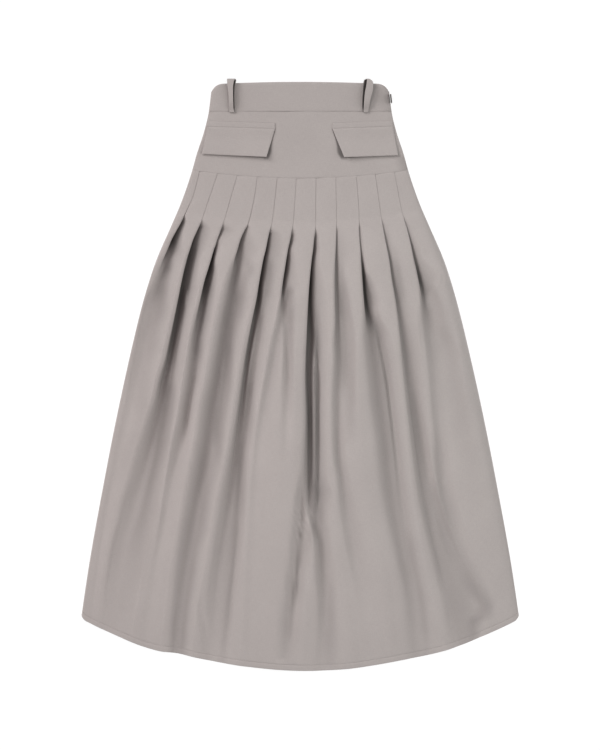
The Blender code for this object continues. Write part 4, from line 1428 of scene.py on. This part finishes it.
def hornMaterial():
    made = bpy.data.materials.new("darkHorn")
    made.use_nodes = True
    tree = made.node_tree
    shader = tree.nodes["Principled BSDF"]
    place = tree.nodes.new("ShaderNodeTexCoord")
    streak = noiseNode(tree, place.outputs["Object"], 90.0, 4.0, (1, 5, 1))
    share = mathNode(tree, "MULTIPLY_ADD", streak, 3.0, -1.2, clamp=True)
    colour = mixColour(tree, sideButton["colour"], sideButton["streak"], share)
    tree.links.new(colour, shader.inputs["Base Color"])
    worn = noiseNode(tree, place.outputs["Object"], 900.0, 2.0)
    tree.links.new(mathNode(tree, "MULTIPLY_ADD", worn, 0.25, 0.35), shader.inputs["Roughness"])
    return made


def turnedAround(build, out, height, around):
    # one ring of the button, or the point in its middle
    if out == 0.0:
        return [build.verts.new((0, 0, height * mm))]
    turns = [2 * math.pi * k / around for k in range(around)]
    return [build.verts.new((out * mm * math.cos(a), out * mm * math.sin(a), height * mm)) for a in turns]


def buttonBlank():
    sizes = sideButton
    half, around = 0.5 * sizes["thickness"], sizes["around"]
    profile = [(out, half + over) for out, over in sizes["front"]]
    profile += [(out, over - half) for out, over in sizes["back"]]
    build = bmesh.new()
    rings = [turnedAround(build, out, height, around) for out, height in profile]
    for first, second in zip(rings, rings[1:]):
        for k in range(around):
            n = (k + 1) % around
            if len(first) == 1:
                build.faces.new((first[0], second[k], second[n]))
            elif len(second) == 1:
                build.faces.new((first[k], second[0], first[n]))
            else:
                build.faces.new((first[k], second[k], second[n], first[n]))
    build.normal_update()
    piece = meshPiece("sideButton", [], [])
    build.to_mesh(piece.data)
    build.free()
    return piece


def buttonDrill():
    sizes = sideButton
    build = bmesh.new()
    radius, out = sizes["holeRadius"] * mm, sizes["holeOut"] * mm
    for k in range(sizes["holes"]):
        a = 2 * math.pi * (k + 0.5) / sizes["holes"]
        bmesh.ops.create_cone(
            build, cap_ends=True, segments=16, radius1=radius, radius2=radius, depth=6 * mm,
            matrix=Matrix.Translation((out * math.cos(a), out * math.sin(a), 0)),
        )
    drill = meshPiece("buttonHoles", [], [])
    build.to_mesh(drill.data)
    build.free()
    return drill


def makeButton():
    sizes = sideButton
    piece, drill = buttonBlank(), buttonDrill()
    holes = piece.modifiers.new("holes", "BOOLEAN")
    holes.operation = "DIFFERENCE"
    holes.solver = "EXACT"
    holes.object = drill
    bpy.context.view_layer.update()
    seen = piece.evaluated_get(bpy.context.evaluated_depsgraph_get())
    final = bpy.data.meshes.new_from_object(seen)
    piece.modifiers.clear()
    piece.data = final
    bpy.data.objects.remove(drill)
    final.shade_smooth()
    final.set_sharp_from_angle(angle=sizes["sharpFrom"])
    # on its edge at the side of the waistband, turned along the side there
    y, radius, gap = sizes["y"], sizes["radius"], sizes["gap"]
    along = math.atan2(float(halfWidth(y - radius) - halfWidth(y + radius)), 2 * radius)
    turn = Matrix.Rotation(along, 4, "Z") @ Matrix.Rotation(0.5 * math.pi - sizes["tilt"], 4, "Y")
    out = float(halfWidth(y)) + gap + 0.5 * sizes["thickness"]
    place = Matrix.Translation((out * mm, y * mm, (radius + gap) * mm))
    piece.data.transform(place @ turn)
    return piece


dress(makeButton(), hornMaterial(), "side_button")
print("button made")

# The thread's finish.

threadLook = {
    **clothLook,
    "light": (0.36, 0.33, 0.315, 1),
    "dark": (0.28, 0.25, 0.24, 1),
    "threads": 3000.0,
    "roughness": 0.6,
}
dress(hemThread, clothMaterial("sewingThread", threadLook))

# Floor, light, camera.

studio = {
    "floorHalf": 8,
    "floorColour": (0.90, 0.90, 0.90, 1),
    "floorRoughness": 0.9,
    "floorShine": 0.1,
    "world": (1.0, 1.0, 1.0, 1),
    "worldStrength": 0.30,
    # some lights fall on the garment alone, and one on the floor alone:
    # way to the light, how wide it looks, strength
    "garmentLights": (
        ("key", (-0.70, 0.45, 0.50), math.radians(30), 2.1),
        ("fill", (0.85, 0.05, 0.50), math.radians(40), 1.1),
    ),
    "floorLights": (("floorLight", (0.0, 0.0, 1.0), math.radians(60), 2.7),),
    # two broad lamps above, a little warmer on the left: place, colour, power
    "lamps": (
        ("leftLamp", (-0.42, 0.0, 1.0), (1.0, 0.87, 0.875), 2.66),
        ("rightLamp", (0.46, 0.0, 1.0), (0.89, 1.0, 0.965), 2.6),
    ),
    "lampSize": 0.6,
    "cameraUp": 4.0,
    "sensor": 24.0,
}


def makeFloor():
    half = studio["floorHalf"]
    corners = [(-half, -half, 0), (half, -half, 0), (half, half, 0), (-half, half, 0)]
    floor = meshPiece("floor", corners, [(0, 1, 2, 3)])
    paper = bpy.data.materials.new("palePaper")
    paper.use_nodes = True
    shader = paper.node_tree.nodes["Principled BSDF"]
    shader.inputs["Base Color"].default_value = studio["floorColour"]
    shader.inputs["Roughness"].default_value = studio["floorRoughness"]
    shader.inputs["Specular IOR Level"].default_value = studio["floorShine"]
    floor.data.materials.append(paper)
    return floor


def hangLamp(light, floor, place, way, state):
    # a light that falls on all but the floor, or on the floor alone and through everything
    lamp = linked(light.name, light)
    lamp.location = place
    lamp.rotation_euler = (-Vector(way)).to_track_quat("-Z", "Y").to_euler()
    lit = bpy.data.collections.new(light.name + "Falls")
    lit.objects.link(floor)
    lit.collection_objects[0].light_linking.link_state = state
    lamp.light_linking.receiver_collection = lit
    if state == "INCLUDE":
        stops = bpy.data.collections.new("stopsNothing")
        stops.objects.link(floor)
        lamp.light_linking.blocker_collection = stops


def makeStudio():
    floor = makeFloor()
    world = bpy.data.worlds.new("studio")
    world.use_nodes = True
    backdrop = world.node_tree.nodes["Background"]
    backdrop.inputs["Color"].default_value = studio["world"]
    backdrop.inputs["Strength"].default_value = studio["worldStrength"]
    bpy.context.scene.world = world
    for group, state in (("garmentLights", "EXCLUDE"), ("floorLights", "INCLUDE")):
        for name, way, width, strength in studio[group]:
            light = bpy.data.lights.new(name, "SUN")
            light.angle = width
            light.energy = strength
            hangLamp(light, floor, Vector(way) * 3, way, state)
    for name, place, colour, power in studio["lamps"]:
        light = bpy.data.lights.new(name, "AREA")
        light.size = studio["lampSize"]
        light.color = colour
        light.energy = power
        hangLamp(light, floor, place, (0, 0, 1), "EXCLUDE")
    bpy.context.scene.view_settings.view_transform = "Standard"


def makeCamera():
    # straight down, with the garment where it is in the picture
    step, up = reading["step"] * mm, studio["cameraUp"]
    camera = bpy.data.cameras.new("camera")
    camera.sensor_fit = "VERTICAL"
    camera.sensor_height = studio["sensor"]
    camera.lens = studio["sensor"] * up / (reading["high"] * step)
    camera.clip_end = 50
    eye = linked("camera", camera)
    right, down = 0.5 * reading["wide"] - reading["x"], 0.5 * reading["high"] - reading["y"]
    eye.location = (right * step, -down * step, up)
    bpy.context.scene.camera = eye


makeStudio()
makeCamera()
print("studio and camera set")
